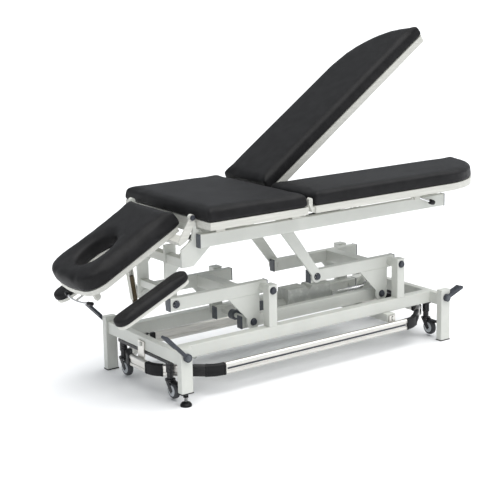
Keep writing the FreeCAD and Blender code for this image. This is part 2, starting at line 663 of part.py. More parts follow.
def upper_frame():
    """Long beams, cross tubes, the uprights to the head arm and the struts to the foot arm."""
    cap = cap_thickness
    beam = tube(upper_head_x + cap, upper_foot_x - cap, upper_inner, upper_inner + upper_width,
                upper_bottom, upper_top, Vector(1, 0, 0))
    caps = [box(x, x + cap, upper_inner, upper_inner + upper_width, upper_bottom, upper_top)
            for x in (upper_head_x, upper_foot_x - cap)]
    eye = 12.0
    hinge_plate = plate([(66, 505), (118, 505), (205, 580), (205, 612), (150, 634), (134, 645), (132, 668),
                         (125, 678), (head_pivot.x + eye, head_pivot.z - 2),
                         (head_pivot.x, head_pivot.z + eye, head_pivot.x - eye + 2, head_pivot.z - 6),
                         (119, 648), (113, 602), (66, 574)], upper_inner - 8, upper_inner)
    hinge_plate = hinge_plate.fuse(rod_y(head_pivot.x, upper_inner - 10, upper_inner + 12, head_pivot.z, 5))
    add_pair("upper_beam", beam, *caps, hinge_plate)
    z0 = upper_top - cross_height
    crossings = [tube(x - width / 2, x + width / 2, -upper_inner, upper_inner, z0, upper_top, axis_y)
                 for x, width in ((345.0, 30.0), (strut_top_x, cross_width), (1330.0, cross_width))]
    head_cross = tube(206, 246, -upper_inner, upper_inner, z0, upper_top, axis_y)
    spring_ears = []
    for side in (-1, 1):
        y0, y1 = sorted((side * 8, side * 13))
        ear = plate([(spring_foot.x - 12, spring_foot.z), (spring_foot.x, spring_foot.z - 12,
                     spring_foot.x + 12, spring_foot.z), (356, z0), (332, z0)], y0, y1)
        spring_ears.append(ear)
    spring_pin = rod_y(spring_foot.x, -14, 14, spring_foot.z, 4)
    add("upper_cross_tubes", head_cross, *crossings, spring_ears[0].fuse([spring_ears[1], spring_pin]),
        *leg_strut_mounts())

    left_x = pivot_head_x - arm_reach
    y1 = arm_inner - side_gap
    y0 = y1 - flat_bar_thickness
    half = flat_bar_width / 2
    upright = plate([(left_x - half, pivot_z), (left_x, pivot_z - half, left_x + half, pivot_z),
                     (left_x + half, 575), (left_x - half, 575)], y0, y1)
    brace = plate([(left_x + half, 468), (left_x + half, 508), (206, 604), (206, 562)], y0, y1)
    bolt = rod_y(left_x, y1, arm_outer + side_gap, pivot_z, bolt_radius)
    head = bolt_head(left_x, arm_outer + side_gap, arm_outer + 6, pivot_z, 13)
    nut = bolt_head(left_x, y0 - 6, y0, pivot_z, 13)
    far_side = [upright, brace, bolt, head, nut]
    add("uprights", *far_side, *[mirror_y(piece) for piece in far_side])
    tie = tube(left_x - 18, left_x + 18, -y0, y0, 505, 540, axis_y)
    side_ties = [tube(left_x - 18, left_x + 18, y1, upper_inner - 8, 505, 540, axis_y)]
    side_ties.append(mirror_y(side_ties[0]))
    low_tie = tube(left_x - 15, left_x + 15, -y0, y0, 372, 402, axis_y)
    add("upright_ties", tie, *side_ties, low_tie)

    foot_left = pivot_foot_x - arm_reach
    y0 = arm_outer + side_gap
    y1 = y0 + flat_bar_thickness
    strut = plate([(foot_left - half, pivot_z + 8),
                   (foot_left, pivot_z - half, foot_left + half, pivot_z + 6), (strut_top_x + 25, 560),
                   (strut_top_x + 25, z0), (strut_top_x - 25, z0),
                   (strut_top_x - 25, 545)], y0, y1)
    ring_end = arm_inner - side_gap
    bolt = rod_y(foot_left, ring_end, y0, pivot_z, bolt_radius)
    ring = rod_y(foot_left, ring_end - retaining_ring, ring_end, pivot_z, 12)
    head = bolt_head(foot_left, y1, y1 + 6, pivot_z, 13)
    add_pair("foot_strut", strut, bolt, ring, head)


def rounded_outline(points, z0, z1):
    """A flat board or pad from a closed plan outline of (x, y) points and (via x, via y, x, y) arcs."""
    edges = []
    start = Vector(points[0][0], points[0][1], z0)
    here = start
    for item in points[1:]:
        if len(item) == 4:
            via = Vector(item[0], item[1], z0)
            target = Vector(item[2], item[3], z0)
            edges.append(Part.Arc(here, via, target).toShape())
        else:
            target = Vector(item[0], item[1], z0)
            edges.append(Part.makeLine(here, target))
        here = target
    if (here - start).Length > 0.001:
        edges.append(Part.makeLine(here, start))
    return Part.Face(Part.Wire(edges)).extrude(Vector(0, 0, z1 - z0))


def middle_section():
    """The fixed deck with its pad, standing on blocks on the beams, with the leg hinge hooks."""
    gap = 6.0
    deck = box(mid_head_x + 10, leg_pivot.x - leg_gap - 4, -couch_half + gap, couch_half - gap,
               deck_bottom, deck_top)
    pad = box(mid_head_x, leg_pivot.x - leg_gap, -couch_half, couch_half, deck_top, pad_top)
    pad = pad.makeFillet(14, [e for e in pad.Edges if abs(e.tangentAt(0).z) > 0.9])
    pad = pad.makeFillet(10, [e for e in pad.Edges if e.CenterOfMass.z > pad_top - 0.1])
    blocks = [box(x, x + 40, side * 225.5 - 12.5, side * 225.5 + 12.5, upper_top, deck_bottom)
              for x in (206, 560) for side in (-1, 1)]
    eye = hinge_eye
    x = leg_pivot.x
    z = leg_pivot.z
    hook_outline = [(x + eye, z), (x + eye - 1, z - 16), (x - 8, deck_bottom + 4),
                    (x - leg_gap - 4, deck_bottom), (x - leg_gap - 4, deck_top - 3), (x - eye, deck_top - 6), (x - eye, z),
                    (x, z + eye, x + eye, z)]
    hooks = []
    for y0, y1 in hook_places():
        hook = plate(hook_outline, y0, y1)
        hooks.append(hook)
    pins = [rod_y(x, min(a[0], a[0] - 9), a[1], z, 4) for a in hook_places()]
    hooks = [hook.fuse(pin) for hook, pin in zip(hooks, pins)]
    add("middle_deck", deck, *blocks, *hooks)
    add("middle_pad", pad)


def hook_places():
    """Where the middle deck's hinge hooks stand across the couch, from near to far."""
    return [(-couch_half + 22, -couch_half + 29), (-24, -17), (26, 33), (couch_half - 20, couch_half - 13)]


def leg_section(name, side, raise_angle):
    """One leg section: deck, pad, hinge lugs and the bracket for its gas strut."""
    x0 = leg_pivot.x + leg_gap
    inner = 2.0
    outer = couch_half
    round_start = leg_end_x - couch_half
    turn = math.radians(45)

    def outline(grow, head_x):
        """Half of a D-shaped end: straight inner edge, quarter-round outer corner."""
        radius = outer - grow
        corner = 28.0
        via = (round_start + radius * math.sin(turn), side * radius * math.cos(turn))
        tip_x = round_start + math.sqrt(radius ** 2 - (inner + grow + corner) ** 2)
        return [(head_x, side * (inner + grow)), (head_x, side * (outer - grow)),
                (round_start, side * (outer - grow)), (via[0], via[1], tip_x, side * (inner + grow + corner)),
                (tip_x + corner * 0.02, side * (inner + grow + corner * 0.35), tip_x - corner * 0.72,
                 side * (inner + grow))]

    deck = rounded_outline(outline(6.0, x0 + 7), deck_bottom, deck_top)
    pad = rounded_outline(outline(0.0, x0), deck_top, pad_top)
    eye = hinge_eye
    x = leg_pivot.x
    z = leg_pivot.z
    lug_outline = [(x - eye, z), (x - eye, z - 16), (x + 8, deck_bottom + 4), (x0 + 7, deck_bottom),
                   (x0 + 7, deck_top - 3), (x + eye, deck_top - 6), (x + eye, z), (x, z + eye, x - eye, z)]
    lugs = []
    for y0, y1 in hook_places():
        if (y0 > 0) == (side > 0):
            lug = plate(lug_outline, y0 - 8, y0 - 1).cut(rod_y(x, y0 - 20, y1 + 10, z, 4 + running_gap))
            lugs.append(lug)
    strut_end = leg_strut_top
    ear = plate([(strut_end.x - 18, deck_bottom), (strut_end.x + 18, deck_bottom),
                 (strut_end.x + 18, strut_end.z),
                 (strut_end.x, strut_end.z - 18, strut_end.x - 18, strut_end.z)],
                0, 5)
    hole = rod_y(strut_end.x, -500, 500, strut_end.z, 14)
    ears = []
    for offset in (-14, 9):
        moved = ear.copy()
        moved.translate(Vector(0, side * leg_strut_y + offset, 0))
        ears.append(moved.cut(hole))
    lever_block = box(lever_pivot.x - 14, lever_pivot.x + 14, side * lever_y - 12, side * lever_y - 5,
                      lever_pivot.z - 10, deck_bottom)
    lever_block = lever_block.fuse(box(lever_pivot.x - 14, lever_pivot.x + 14, side * lever_y + 5,
                                       side * lever_y + 12, lever_pivot.z - 10, deck_bottom))
    lever_block = lever_block.fuse(rod_y(lever_pivot.x, side * lever_y - 12, side * lever_y + 12,
                                         lever_pivot.z, 4))
    turn_by = -raise_angle
    deck_pieces = [deck, *lugs, *ears, lever_block]
    add(f"leg_deck_{name}", *[turned(piece, leg_pivot, turn_by) for piece in deck_pieces])
    add(f"leg_pad_{name}", turned(pad, leg_pivot, turn_by))

    lever = rod_y(lever_pivot.x, side * lever_y - 4.5, side * lever_y + 4.5, lever_pivot.z, 9)
    handle_end = lever_pivot + Vector(80, side * lever_y, -30)
    handle = rod(lever_pivot + Vector(4, side * lever_y, -1.5), handle_end, 4)
    lever = lever.fuse(handle).cut(rod_y(lever_pivot.x, side * lever_y - 20, side * lever_y + 20,
                                         lever_pivot.z, 4 + running_gap))
    knob = rod(handle_end, handle_end + (handle_end - lever_pivot - Vector(0, side * lever_y, 0)) * 0.3, 10)
    knob = knob.makeChamfer(4, [edge for edge in knob.Edges if edge.Curve.TypeId == "Part::GeomCircle"])
    add(f"leg_lever_{name}", turned(lever, leg_pivot, turn_by), turned(knob, leg_pivot, turn_by))

    foot = leg_strut_foot + Vector(0, side * leg_strut_y, 0)
    top = turned(Part.Vertex(strut_end), leg_pivot, turn_by).Point + Vector(0, side * leg_strut_y, 0)
    along = top - foot
    length = along.Length
    reach = length - 100 if raise_angle > 0 else length - 40
    along.normalize()
    barrel = rod(foot + along * 24, foot + along * 185, 11)
    barrel = barrel.fuse([rod(foot, foot + along * 24, 5), rod_y(foot.x, foot.y - 5, foot.y + 5, foot.z, 10)])
    barrel = barrel.cut(rod_y(foot.x, foot.y - 20, foot.y + 20, foot.z, 4 + running_gap))
    barrel = barrel.cut(rod(foot + along * 30, foot + along * 190, 5 + running_gap))
    add(f"leg_strut_tube_{name}", barrel)
    piston = rod(foot + along * (length - reach), top - along * 5, 5)
    piston = piston.fuse(rod_y(top.x, top.y - 7, top.y + 7, top.z, 7))
    piston = piston.fuse(rod_y(top.x, top.y - 16, top.y + 16, top.z, 4))
    add(f"leg_strut_rod_{name}", piston)


def leg_strut_mounts():
    """The two brackets on the upper frame that the leg struts turn on."""
    mounts = []
    foot = leg_strut_foot
    for side in (-1, 1):
        y = side * leg_strut_y
        pin = rod_y(foot.x, y - 12, y + 12, foot.z, 4)
        ears = [plate([(strut_top_x + cross_width / 2, 600), (foot.x, foot.z - 12),
                       (foot.x + 12, foot.z, foot.x, foot.z + 12),
                       (strut_top_x + cross_width / 2, 624)], y0, y0 + 5) for y0 in (y - 11, y + 6)]
        mounts.append(pin.fuse(ears))
    return mounts


def head_section():
    """The drooping head section: padded board with a face hole, on a hinge bar with two lugs."""
    px = head_pivot.x
    pz = head_pivot.z
    pad_low = pz + head_pad_low
    deck_low = head_deck_low

    def outline(grow, head_x):
        """Rounded corners at the free end, with a slightly bowed end edge."""
        half = head_half - grow
        end = px - head_length + grow
        radius = head_end_radius - grow
        shoulder = radius * (1 - math.sqrt(0.5))
        return [(head_x, -half), (head_x, half), (end + radius, half),
                (end + shoulder, half - shoulder, end, half - radius),
                (end - head_end_bow, 0, end, -(half - radius)),
                (end + shoulder, -(half - shoulder), end + radius, -half)]

    def face_hole(grow):
        """An oval opening through the section, longer along it than across."""
        oval = Part.Ellipse(Vector(px + face_hole_x, 0, deck_low - 1), face_hole_half_length + grow,
                            face_hole_half_width + grow)
        return Part.Face(Part.Wire([oval.toShape()])).extrude(Vector(0, 0, pad_top - deck_low + 2))

    pad = rounded_outline(outline(0.0, px - head_pad_set_back), pad_low, pad_low + head_pad_thickness)
    pad = pad.cut(face_hole(0.0))
    deck = rounded_outline(outline(head_deck_inset, px - head_deck_set_back), deck_low, pad_low)
    deck = deck.cut(face_hole(face_hole_margin))
    frame = [hinge_frame(), *arm_guides(), *release_brackets()]
    add("head_deck", *[turned(piece, head_pivot, -head_droop) for piece in (deck, *frame)])
    add("head_release", *[turned(piece, head_pivot, -head_droop) for piece in release_handle()])
    add("head_pad", turned(pad, head_pivot, -head_droop))


def hinge_frame():
    """A flat bar under the head deck that reaches out to both hinge lugs and carries the spring's ears."""
    px = head_pivot.x
    pz = head_pivot.z
    eye = hinge_lug_eye
    reach = upper_inner + 1 + hinge_lug_thickness
    bar_low = head_deck_low - hinge_bar_height
    bar_x0 = px + hinge_bar_low_x
    bar_x1 = px + hinge_bar_high_x
    bar = box(bar_x0, bar_x1, -reach, reach, bar_low, head_deck_low)
    lug_outline = [(px + eye, pz), (px + eye - 1, pz - 4), (px - 12, pz - 30), (bar_x1, bar_low),
                   (bar_x0, bar_low), (bar_x0, head_deck_low), (px - 52, pz - 20, px - eye, pz),
                   (px, pz + eye, px + eye, pz)]
    pieces = []
    for side in (-1, 1):
        y0, y1 = sorted((side * (reach - hinge_lug_thickness), side * reach))
        pieces.append(plate(lug_outline, y0, y1))
    ear_at = head_pivot + spring_top_local
    for side in (-1, 1):
        y0, y1 = sorted((side * 9, side * 14))
        pieces.append(plate([(ear_at.x - 14, bar_low), (ear_at.x + 14, bar_low), (ear_at.x + 14, ear_at.z),
                             (ear_at.x, ear_at.z - 14, ear_at.x - 14, ear_at.z)], y0, y1))
    hole = rod_y(ear_at.x, -60, 60, ear_at.z, spring_pin_radius + spring_eye_play)
    pivot_hole = rod_y(px, -couch_half, couch_half, pz, hinge_pin_radius + running_gap)
    return bar.fuse(pieces).cut(hole).cut(pivot_hole)


def head_spring():
    """The gas spring between the upper frame and the hinge bar's ears."""
    foot = spring_foot
    top = turned(Part.Vertex(head_pivot + spring_top_local), head_pivot, -head_droop).Point
    along = top - foot
    length = along.Length
    along.normalize()
    start = spring_barrel_start
    barrel = rod(foot + along * start, foot + along * spring_barrel_end, spring_barrel_radius)
    barrel = barrel.fuse([rod(foot, foot + along * start, 5), rod_y(foot.x, -7, 7, foot.z, 10)])
    barrel = barrel.cut(rod_y(foot.x, -20, 20, foot.z, spring_pin_radius + running_gap))
    barrel = barrel.cut(rod(foot + along * (start - 2), foot + along * (spring_barrel_end + 5),
                            spring_rod_radius + running_gap))
    add("head_spring_tube", barrel)
    piston = rod(foot + along * (length - spring_rod_length), top - along * 4, spring_rod_radius)
    piston = piston.fuse(rod_y(top.x, -7, 7, top.z, 8))
    piston = piston.fuse(rod_y(top.x, -16, 16, top.z, spring_pin_radius))
    add("head_spring_rod", piston)


def release_brackets():
    """Two ears that the release handle turns in, and the two end blocks, under the head deck."""
    low = head_deck_low
    x = head_pivot.x + release_pivot_x
    z = low - release_drop
    pieces = []
    for side in (-1, 1):
        y0, y1 = sorted((side * release_ear_inner, side * (release_ear_inner + release_ear_thickness)))
        ear = plate([(x - 10, low), (x + 10, low), (x + 10, z), (x, z - 10, x - 10, z)], y0, y1)
        pieces.append(ear.cut(rod_y(x, y0 - 1, y1 + 1, z, release_bar_radius + running_gap)))
        y0, y1 = sorted((side * end_block_inner, side * end_block_outer))
        block_x = head_pivot.x + end_block_x
        half = end_block_half
        foot = low - end_block_drop
        pieces.append(plate([(block_x - half, low), (block_x + half, low), (block_x + half, foot + 8),
                             (block_x + half - 8, foot), (block_x - half, foot)], y0, y1))
    return pieces


def release_handle():
    """A bowed bar on a lever that turns under the head deck, with a grip at each end of the bar."""
    radius = release_bar_radius
    z = head_deck_low - release_drop
    pivot = Vector(head_pivot.x + release_pivot_x, 0, z)
    middle = Vector(head_pivot.x + release_bar_x, 0, z)
    reach = release_bar_reach
    ends = [middle + Vector(release_bar_bow, side * reach, 0) for side in (-1, 1)]
    arc = Part.Arc(ends[0], middle, ends[1])
    profile = Part.Wire([Part.Circle(ends[0], arc.tangent(arc.FirstParameter)[0], radius).toShape()])
    bar = Part.Wire([arc.toShape()]).makePipeShell([profile], True, False)
    reach_out = release_ear_inner + release_ear_thickness
    lever = rod(middle, pivot, radius)
    pin = rod_y(pivot.x, -reach_out, reach_out, z, radius)
    eye = rod_y(pivot.x, side_gap - release_ear_inner, release_ear_inner - side_gap, z, 2 * radius)
    grips = []
    lean = 2 * math.atan(release_bar_bow / reach)
    for end, side in zip(ends, (-1, 1)):
        along = Vector(math.sin(lean), side * math.cos(lean), 0)
        grip = rod(end, end + along * release_grip_length, release_grip_radius)
        rims = [edge for edge in grip.Edges if edge.Curve.TypeId == "Part::GeomCircle"]
        grips.append(grip.makeChamfer(2, rims))
    return [bar.fuse([lever, pin, eye]), *grips]


def in_arm_guide(x0, x1, y0, y1, drop0, drop1):
    """A block that leans with the arm rests' guides, placed from where a guide meets the head deck."""
    top = head_pivot + Vector(arm_guide_x, 0, head_deck_low - head_pivot.z)
    block = box(top.x + x0, top.x + x1, y0, y1, top.z - drop1, top.z - drop0)
    return turned(block, top, arm_guide_lean)


def arm_guides():
    """Channels under the head deck, open outwards, that the arm rests' stems slide in."""
    above_deck = box(head_pivot.x - head_length, head_pivot.x, -couch_half, couch_half,
                     head_deck_low, pad_top)
    half = arm_guide_width / 2
    wall = arm_guide_wall
    guides = []
    for side in (-1, 1):
        y0, y1 = sorted((side * (arm_guide_outer - arm_guide_depth), side * arm_guide_outer))
        guide = in_arm_guide(-half, half, y0, y1, -half, arm_guide_length)
        y0, y1 = sorted((side * (arm_guide_outer - arm_guide_depth + wall), side * (arm_guide_outer + 1)))
        channel = in_arm_guide(wall - half, half - wall, y0, y1, -arm_guide_width, arm_guide_length + 1)
        guides.append(guide.cut(channel).cut(above_deck))
    return guides


def arm_rests():
    """A short padded board each side, on a foot whose stem slides in the guide under the head section."""
    low = arm_rest_low
    z0 = low.z
    radius = arm_rest_width / 2
    guide_top = Part.Vertex(head_pivot + Vector(arm_guide_x, 0, head_deck_low - head_pivot.z))
    guide_top = turned(guide_top, head_pivot, -head_droop).Point
    lean = math.radians(head_droop - arm_guide_lean)
    slope = math.radians(arm_rest_slope)
    fall = guide_top.z - low.z - (guide_top.x - low.x) * math.tan(slope)
    stem_end = fall / (math.cos(lean) + math.sin(lean) * math.tan(slope))
    foot_x = low.x + (guide_top.x + stem_end * math.sin(lean) - low.x) / math.cos(slope)
    stem_half = arm_stem_width / 2
    stem_outer = arm_guide_outer - 1
    for name, side in (("near", -1), ("far", 1)):
        centre_y = side * (arm_rest_inner + radius)

        def outline(grow, z_low, z_high):
            """A bar with fully rounded ends."""
            r = radius - grow
            x0 = low.x + radius
            x1 = low.x + arm_rest_length - radius
            return rounded_outline([(x0, centre_y - r), (x1, centre_y - r),
                                    (x1 + r, centre_y, x1, centre_y + r), (x0, centre_y + r),
                                    (x0 - r, centre_y, x0, centre_y - r)], z_low, z_high)

        board = outline(5.0, z0, z0 + arm_rest_board)
        pad = outline(0.0, z0 + arm_rest_board, z0 + arm_rest_board + arm_rest_pad)
        y0, y1 = sorted((side * (stem_outer - arm_stem_depth), side * (arm_rest_inner + arm_foot_reach)))
        foot = box(foot_x - arm_foot_width / 2, foot_x + arm_foot_width / 2, y0, y1,
                   z0 - arm_foot_thickness, z0)
        y0, y1 = sorted((side * (stem_outer - arm_stem_depth), side * stem_outer))
        stem = in_arm_guide(-stem_half, stem_half, y0, y1, arm_stem_drop, stem_end + arm_foot_thickness / 2)
        stem = turned(stem, head_pivot, -head_droop)
        foot = turned(foot, low, -arm_rest_slope)
        add(f"arm_rest_{name}", turned(board, low, -arm_rest_slope), foot.fuse(stem))
        add(f"arm_rest_pad_{name}", turned(pad, low, -arm_rest_slope))


base_frame()
low_cross()
foot_rail()
screw_foot()
pedals()
castors()
lift_arm(1, pivot_head_x, 0)
lift_arm(2, pivot_foot_x, tie_outer - tie_thickness - 6)
tie_bars()
drive()
upper_frame()
middle_section()
leg_section("near", -1, 0.0)
leg_section("far", 1, far_leg_raise)
head_section()
head_spring()
arm_rests()

whole = Part.makeCompound(list(nodes.values())).BoundBox
shift = Vector(-(whole.XMin + whole.XMax) / 2, -(whole.YMin + whole.YMax) / 2, -whole.ZMin)
os.makedirs("parts", exist_ok=True)
for name, shape in nodes.items():
    moved = shape.copy()
    moved.translate(shift)
    moved.exportStep(f"parts/{name}.step")
print("nodes", len(nodes), "shift", [round(v, 3) for v in shift])
print("size", round(whole.XLength, 1), round(whole.YLength, 1), round(whole.ZLength, 1))
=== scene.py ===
"""Studio scene of a height-adjustable treatment couch.

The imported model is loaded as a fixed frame. Its rigid pieces keep their shape and get painted, plated
and moulded finishes. The upholstered pads are made again as foam under a stretched cover. Caps, bolt
covers, threads, ribs and screws are added, and everything rides on the body that carries it.
"""
import json
import logging
import math
from dataclasses import dataclass
from enum import Enum
from typing import Callable, Iterable, Optional, Sequence, Union

import bmesh
import bpy
from mathutils import Matrix, Vector

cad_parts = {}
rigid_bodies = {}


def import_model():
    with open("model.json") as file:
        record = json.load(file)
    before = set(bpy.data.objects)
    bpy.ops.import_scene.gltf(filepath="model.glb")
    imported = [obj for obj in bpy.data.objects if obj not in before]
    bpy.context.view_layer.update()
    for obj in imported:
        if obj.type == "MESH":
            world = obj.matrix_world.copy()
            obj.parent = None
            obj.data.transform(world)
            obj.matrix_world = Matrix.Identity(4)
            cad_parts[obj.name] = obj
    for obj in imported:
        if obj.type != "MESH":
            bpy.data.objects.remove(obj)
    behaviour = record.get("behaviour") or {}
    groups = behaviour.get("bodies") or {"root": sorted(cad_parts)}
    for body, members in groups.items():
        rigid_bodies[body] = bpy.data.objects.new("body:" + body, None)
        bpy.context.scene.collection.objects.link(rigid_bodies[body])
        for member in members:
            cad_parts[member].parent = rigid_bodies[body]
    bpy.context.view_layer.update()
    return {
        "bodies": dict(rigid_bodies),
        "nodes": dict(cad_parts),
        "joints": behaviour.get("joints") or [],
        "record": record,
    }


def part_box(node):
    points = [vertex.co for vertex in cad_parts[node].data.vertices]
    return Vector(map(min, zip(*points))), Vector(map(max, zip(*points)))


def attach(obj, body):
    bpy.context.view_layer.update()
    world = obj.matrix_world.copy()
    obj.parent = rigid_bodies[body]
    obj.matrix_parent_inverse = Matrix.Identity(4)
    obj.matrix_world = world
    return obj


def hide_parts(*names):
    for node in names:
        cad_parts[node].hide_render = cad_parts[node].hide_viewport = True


log = logging.getLogger("couch")
MM = 0.001
Point = Sequence[float]


@dataclass(frozen=True)
class Datum:
    """Turns the maker's own millimetres into metres in the shared frame.

    The maker measures X from the head posts' outer face, Y from the centre plane and Z from the floor.
    """

    start_x: float

    @classmethod
    def from_frame(cls, base_length: float = 1360.0) -> "Datum":
        """Find where the head posts' outer face lies, from both end frames.

        Args:
            base_length: The base's length over its posts, in millimetres.

        Returns:
            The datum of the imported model.
        """
        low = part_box("end_frame_head")[0]
        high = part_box("end_frame_foot")[1]
        return cls((low.x + high.x) / 2 - base_length * MM / 2)

    def at(self, x: float, y: float, z: float) -> Vector:
        """Give a place in the shared frame, from millimetres."""
        return Vector((x * MM + self.start_x, y * MM, z * MM))


class Signal:
    """A shader socket that ordinary arithmetic turns into Math nodes."""

    def __init__(self, sheet: "ShaderSheet", socket: bpy.types.NodeSocket) -> None:
        """Keep the sheet that the nodes are added to, and the socket that carries the value."""
        self.sheet = sheet
        self.socket = socket

    def _math(self, operation: str, *values: Union["Signal", float]) -> "Signal":
        """Add one Math node.

        Args:
            operation: The node's operation.
            *values: Its inputs, as signals or plain numbers.

        Returns:
            The node's result.
        """
        made = self.sheet.node("ShaderNodeMath", {"operation": operation}, dict(enumerate(values)))
        return Signal(self.sheet, made.outputs[0])

    def __add__(self, other: Union["Signal", float]) -> "Signal":
        """Sum."""
        return self._math("ADD", self, other)

    __radd__ = __add__

    def __sub__(self, other: Union["Signal", float]) -> "Signal":
        """Difference."""
        return self._math("SUBTRACT", self, other)

    def __rsub__(self, other: Union["Signal", float]) -> "Signal":
        """Difference, from the other side."""
        return self._math("SUBTRACT", other, self)

    def __mul__(self, other: Union["Signal", float]) -> "Signal":
        """Product."""
        return self._math("MULTIPLY", self, other)

    __rmul__ = __mul__

    def __gt__(self, other: Union["Signal", float]) -> "Signal":
        """One where this value is the larger."""
        return self._math("GREATER_THAN", self, other)

    def ramp(self, low: float, high: float) -> "Signal":
        """Rise smoothly from nought at low to one at high.

        Args:
            low: The value that gives nought.
            high: The value that gives one.

        Returns:
            The smoothed value.
        """
        made = self.sheet.node("ShaderNodeMapRange", {"interpolation_type": "SMOOTHSTEP"},
                               {"Value": self, "From Min": low, "From Max": high})
        return Signal(self.sheet, made.outputs[0])


Colour = tuple[float, float, float]
Feed = Union[Signal, float, Colour, Vector, bpy.types.NodeSocket]


class ShaderSheet:
    """The node tree of one material, with its Principled shader."""

    def __init__(self, name: str) -> None:
        """Start an empty material.

        Args:
            name: The material's name.
        """
        self.material = bpy.data.materials.new(name)
        self.material.use_nodes = True
        self.tree = self.material.node_tree
        self.tree.nodes.clear()
        self.shader = self.node("ShaderNodeBsdfPrincipled")
        output = self.node("ShaderNodeOutputMaterial")
        self.tree.links.new(self.shader.outputs[0], output.inputs["Surface"])
        self.place = self.node("ShaderNodeTexCoord").outputs["Object"]

    def node(self, kind: str, settings: Optional[dict] = None, inputs: Optional[dict] = None) -> bpy.types.Node:
        """Add a node.

        Args:
            kind: The node's type.
            settings: Its own settings, set first.
            inputs: Values or links for its sockets, by name or number.

        Returns:
            The node.
        """
        made = self.tree.nodes.new(kind)
        for key, value in (settings or {}).items():
            setattr(made, key, value)
        for key, value in (inputs or {}).items():
            self.feed(made.inputs[key], value)
        return made

    def feed(self, socket: bpy.types.NodeSocket, value: Feed) -> None:
        """Link a signal to a socket, or set the socket's own value."""
        if isinstance(value, Signal):
            self.tree.links.new(value.socket, socket)
        elif isinstance(value, bpy.types.NodeSocket):
            self.tree.links.new(value, socket)
        elif isinstance(value, tuple) and socket.type == "RGBA":
            socket.default_value = (*value, 1.0)
        else:
            socket.default_value = value

    def stretched(self, scale: Point) -> bpy.types.NodeSocket:
        """Object coordinates scaled by a different amount along each axis."""
        made = self.node("ShaderNodeMapping", None, {"Vector": self.place, "Scale": Vector(scale)})
        return made.outputs[0]

    def noise(self, scale: float, detail: float = 2.0, place: Optional[bpy.types.NodeSocket] = None) -> Signal:
        """Soft noise.

        Args:
            scale: Features per metre.
            detail: Octaves of finer noise.
            place: The coordinates, or the object's own.

        Returns:
            The noise value.
        """
        made = self.node("ShaderNodeTexNoise", None,
                         {"Vector": place or self.place, "Scale": scale, "Detail": detail})
        return Signal(self, made.outputs[0])

    def cells(self, scale: float, feature: str = "DISTANCE_TO_EDGE") -> Signal:
        """Distance to the border of small cells, for grain."""
        made = self.node("ShaderNodeTexVoronoi", {"feature": feature}, {"Vector": self.place, "Scale": scale})
        return Signal(self, made.outputs["Distance"])

    def part_of_place(self, which: int) -> Signal:
        """One part of the object's coordinates, in metres: nought for X, one for Y, two for Z."""
        made = self.node("ShaderNodeSeparateXYZ", None, {0: self.place})
        return Signal(self, made.outputs[which])

    def blend(self, factor: Feed, first: Feed, second: Feed) -> bpy.types.NodeSocket:
        """Mix two colours."""
        made = self.node("ShaderNodeMix", {"data_type": "RGBA"}, {0: factor, 6: first, 7: second})
        return made.outputs[2]

    def bump(self, height: Signal, strength: float, distance: float) -> None:
        """Feed the shader's normal from a height."""
        made = self.node("ShaderNodeBump", None, {"Height": height, "Strength": strength, "Distance": distance})
        self.tree.links.new(made.outputs[0], self.shader.inputs["Normal"])

    def set(self, **sockets: Feed) -> None:
        """Set the shader's sockets, with spaces in their names written as underscores."""
        for key, value in sockets.items():
            self.feed(self.shader.inputs[key.replace("_", " ")], value)


@dataclass(frozen=True)
class PowderCoat:
    """Pale paint baked on steel tube, a little dusty near the floor."""

    name: str = "powder_coat"
    colour: Colour = (0.63, 0.64, 0.60)
    roughness: float = 0.42

    def make(self) -> bpy.types.Material:
        """Build the material."""
        sheet = ShaderSheet(self.name)
        tone = sheet.noise(6.0, 3.0).ramp(0.35, 0.65)
        darker = tuple(part * 0.94 for part in self.colour)
        painted = sheet.blend(tone, darker, self.colour)
        dusty = tuple(part * 0.86 for part in self.colour)
        low_down = (1 - sheet.part_of_place(2).ramp(0.0, 0.22)) * sheet.noise(30.0, 4.0).ramp(0.45, 0.75) * 0.35
        sheet.set(Base_Color=sheet.blend(low_down, painted, dusty),
                  Roughness=sheet.noise(14.0, 3.0) * 0.12 + (self.roughness - 0.06), Coat_Weight=0.12)
        sheet.bump(sheet.noise(620.0, 2.0), 0.10, 0.0006)
        return sheet.material


@dataclass(frozen=True)
class BronzeStem:
    """The arm rests' pale boards, and the dark bronze of the stems between them."""

    name: str = "arm_rest_paint"
    pale: Colour = (0.61, 0.605, 0.56)
    bronze: Colour = (0.055, 0.042, 0.026)
    stem_reach: float = 0.160

    def make(self) -> bpy.types.Material:
        """Build the material, which turns bronze nearer the centre plane than the boards are."""
        sheet = ShaderSheet(self.name)
        across = sheet.part_of_place(1)
        stem = 1 - (across * across > self.stem_reach ** 2)
        sheet.set(Base_Color=sheet.blend(stem, self.pale, self.bronze),
                  Roughness=sheet.noise(60.0, 3.0) * 0.16 + 0.36, Metallic=stem * 0.6)
        sheet.bump(sheet.noise(500.0, 2.0), 0.08, 0.0005)
        return sheet.material


@dataclass(frozen=True)
class RailEnd:
    """The rail's turned ends: bare aluminium along the middle, black sleeves on the slanted parts."""

    name: str = "rail_end"
    silver: Colour = (0.70, 0.685, 0.65)
    black: Colour = (0.0065, 0.0065, 0.0075)
    silver_reach: float = 0.175
    lines: tuple[float, float, float] = (260.0, 14.0, 260.0)

    def make(self) -> bpy.types.Material:
        """Build the material, which turns black further from the centre plane than the bare part reaches."""
        sheet = ShaderSheet(self.name)
        across = sheet.part_of_place(1)
        sleeved = across * across > self.silver_reach ** 2
        lines = sheet.noise(1.0, 3.0, sheet.stretched(self.lines))
        sheet.set(Base_Color=sheet.blend(sleeved, self.silver, self.black), Metallic=1 - sleeved,
                  Roughness=lines * 0.14 + sleeved * 0.10 + 0.27)
        sheet.bump(lines, 0.05, 0.0003)
        return sheet.material


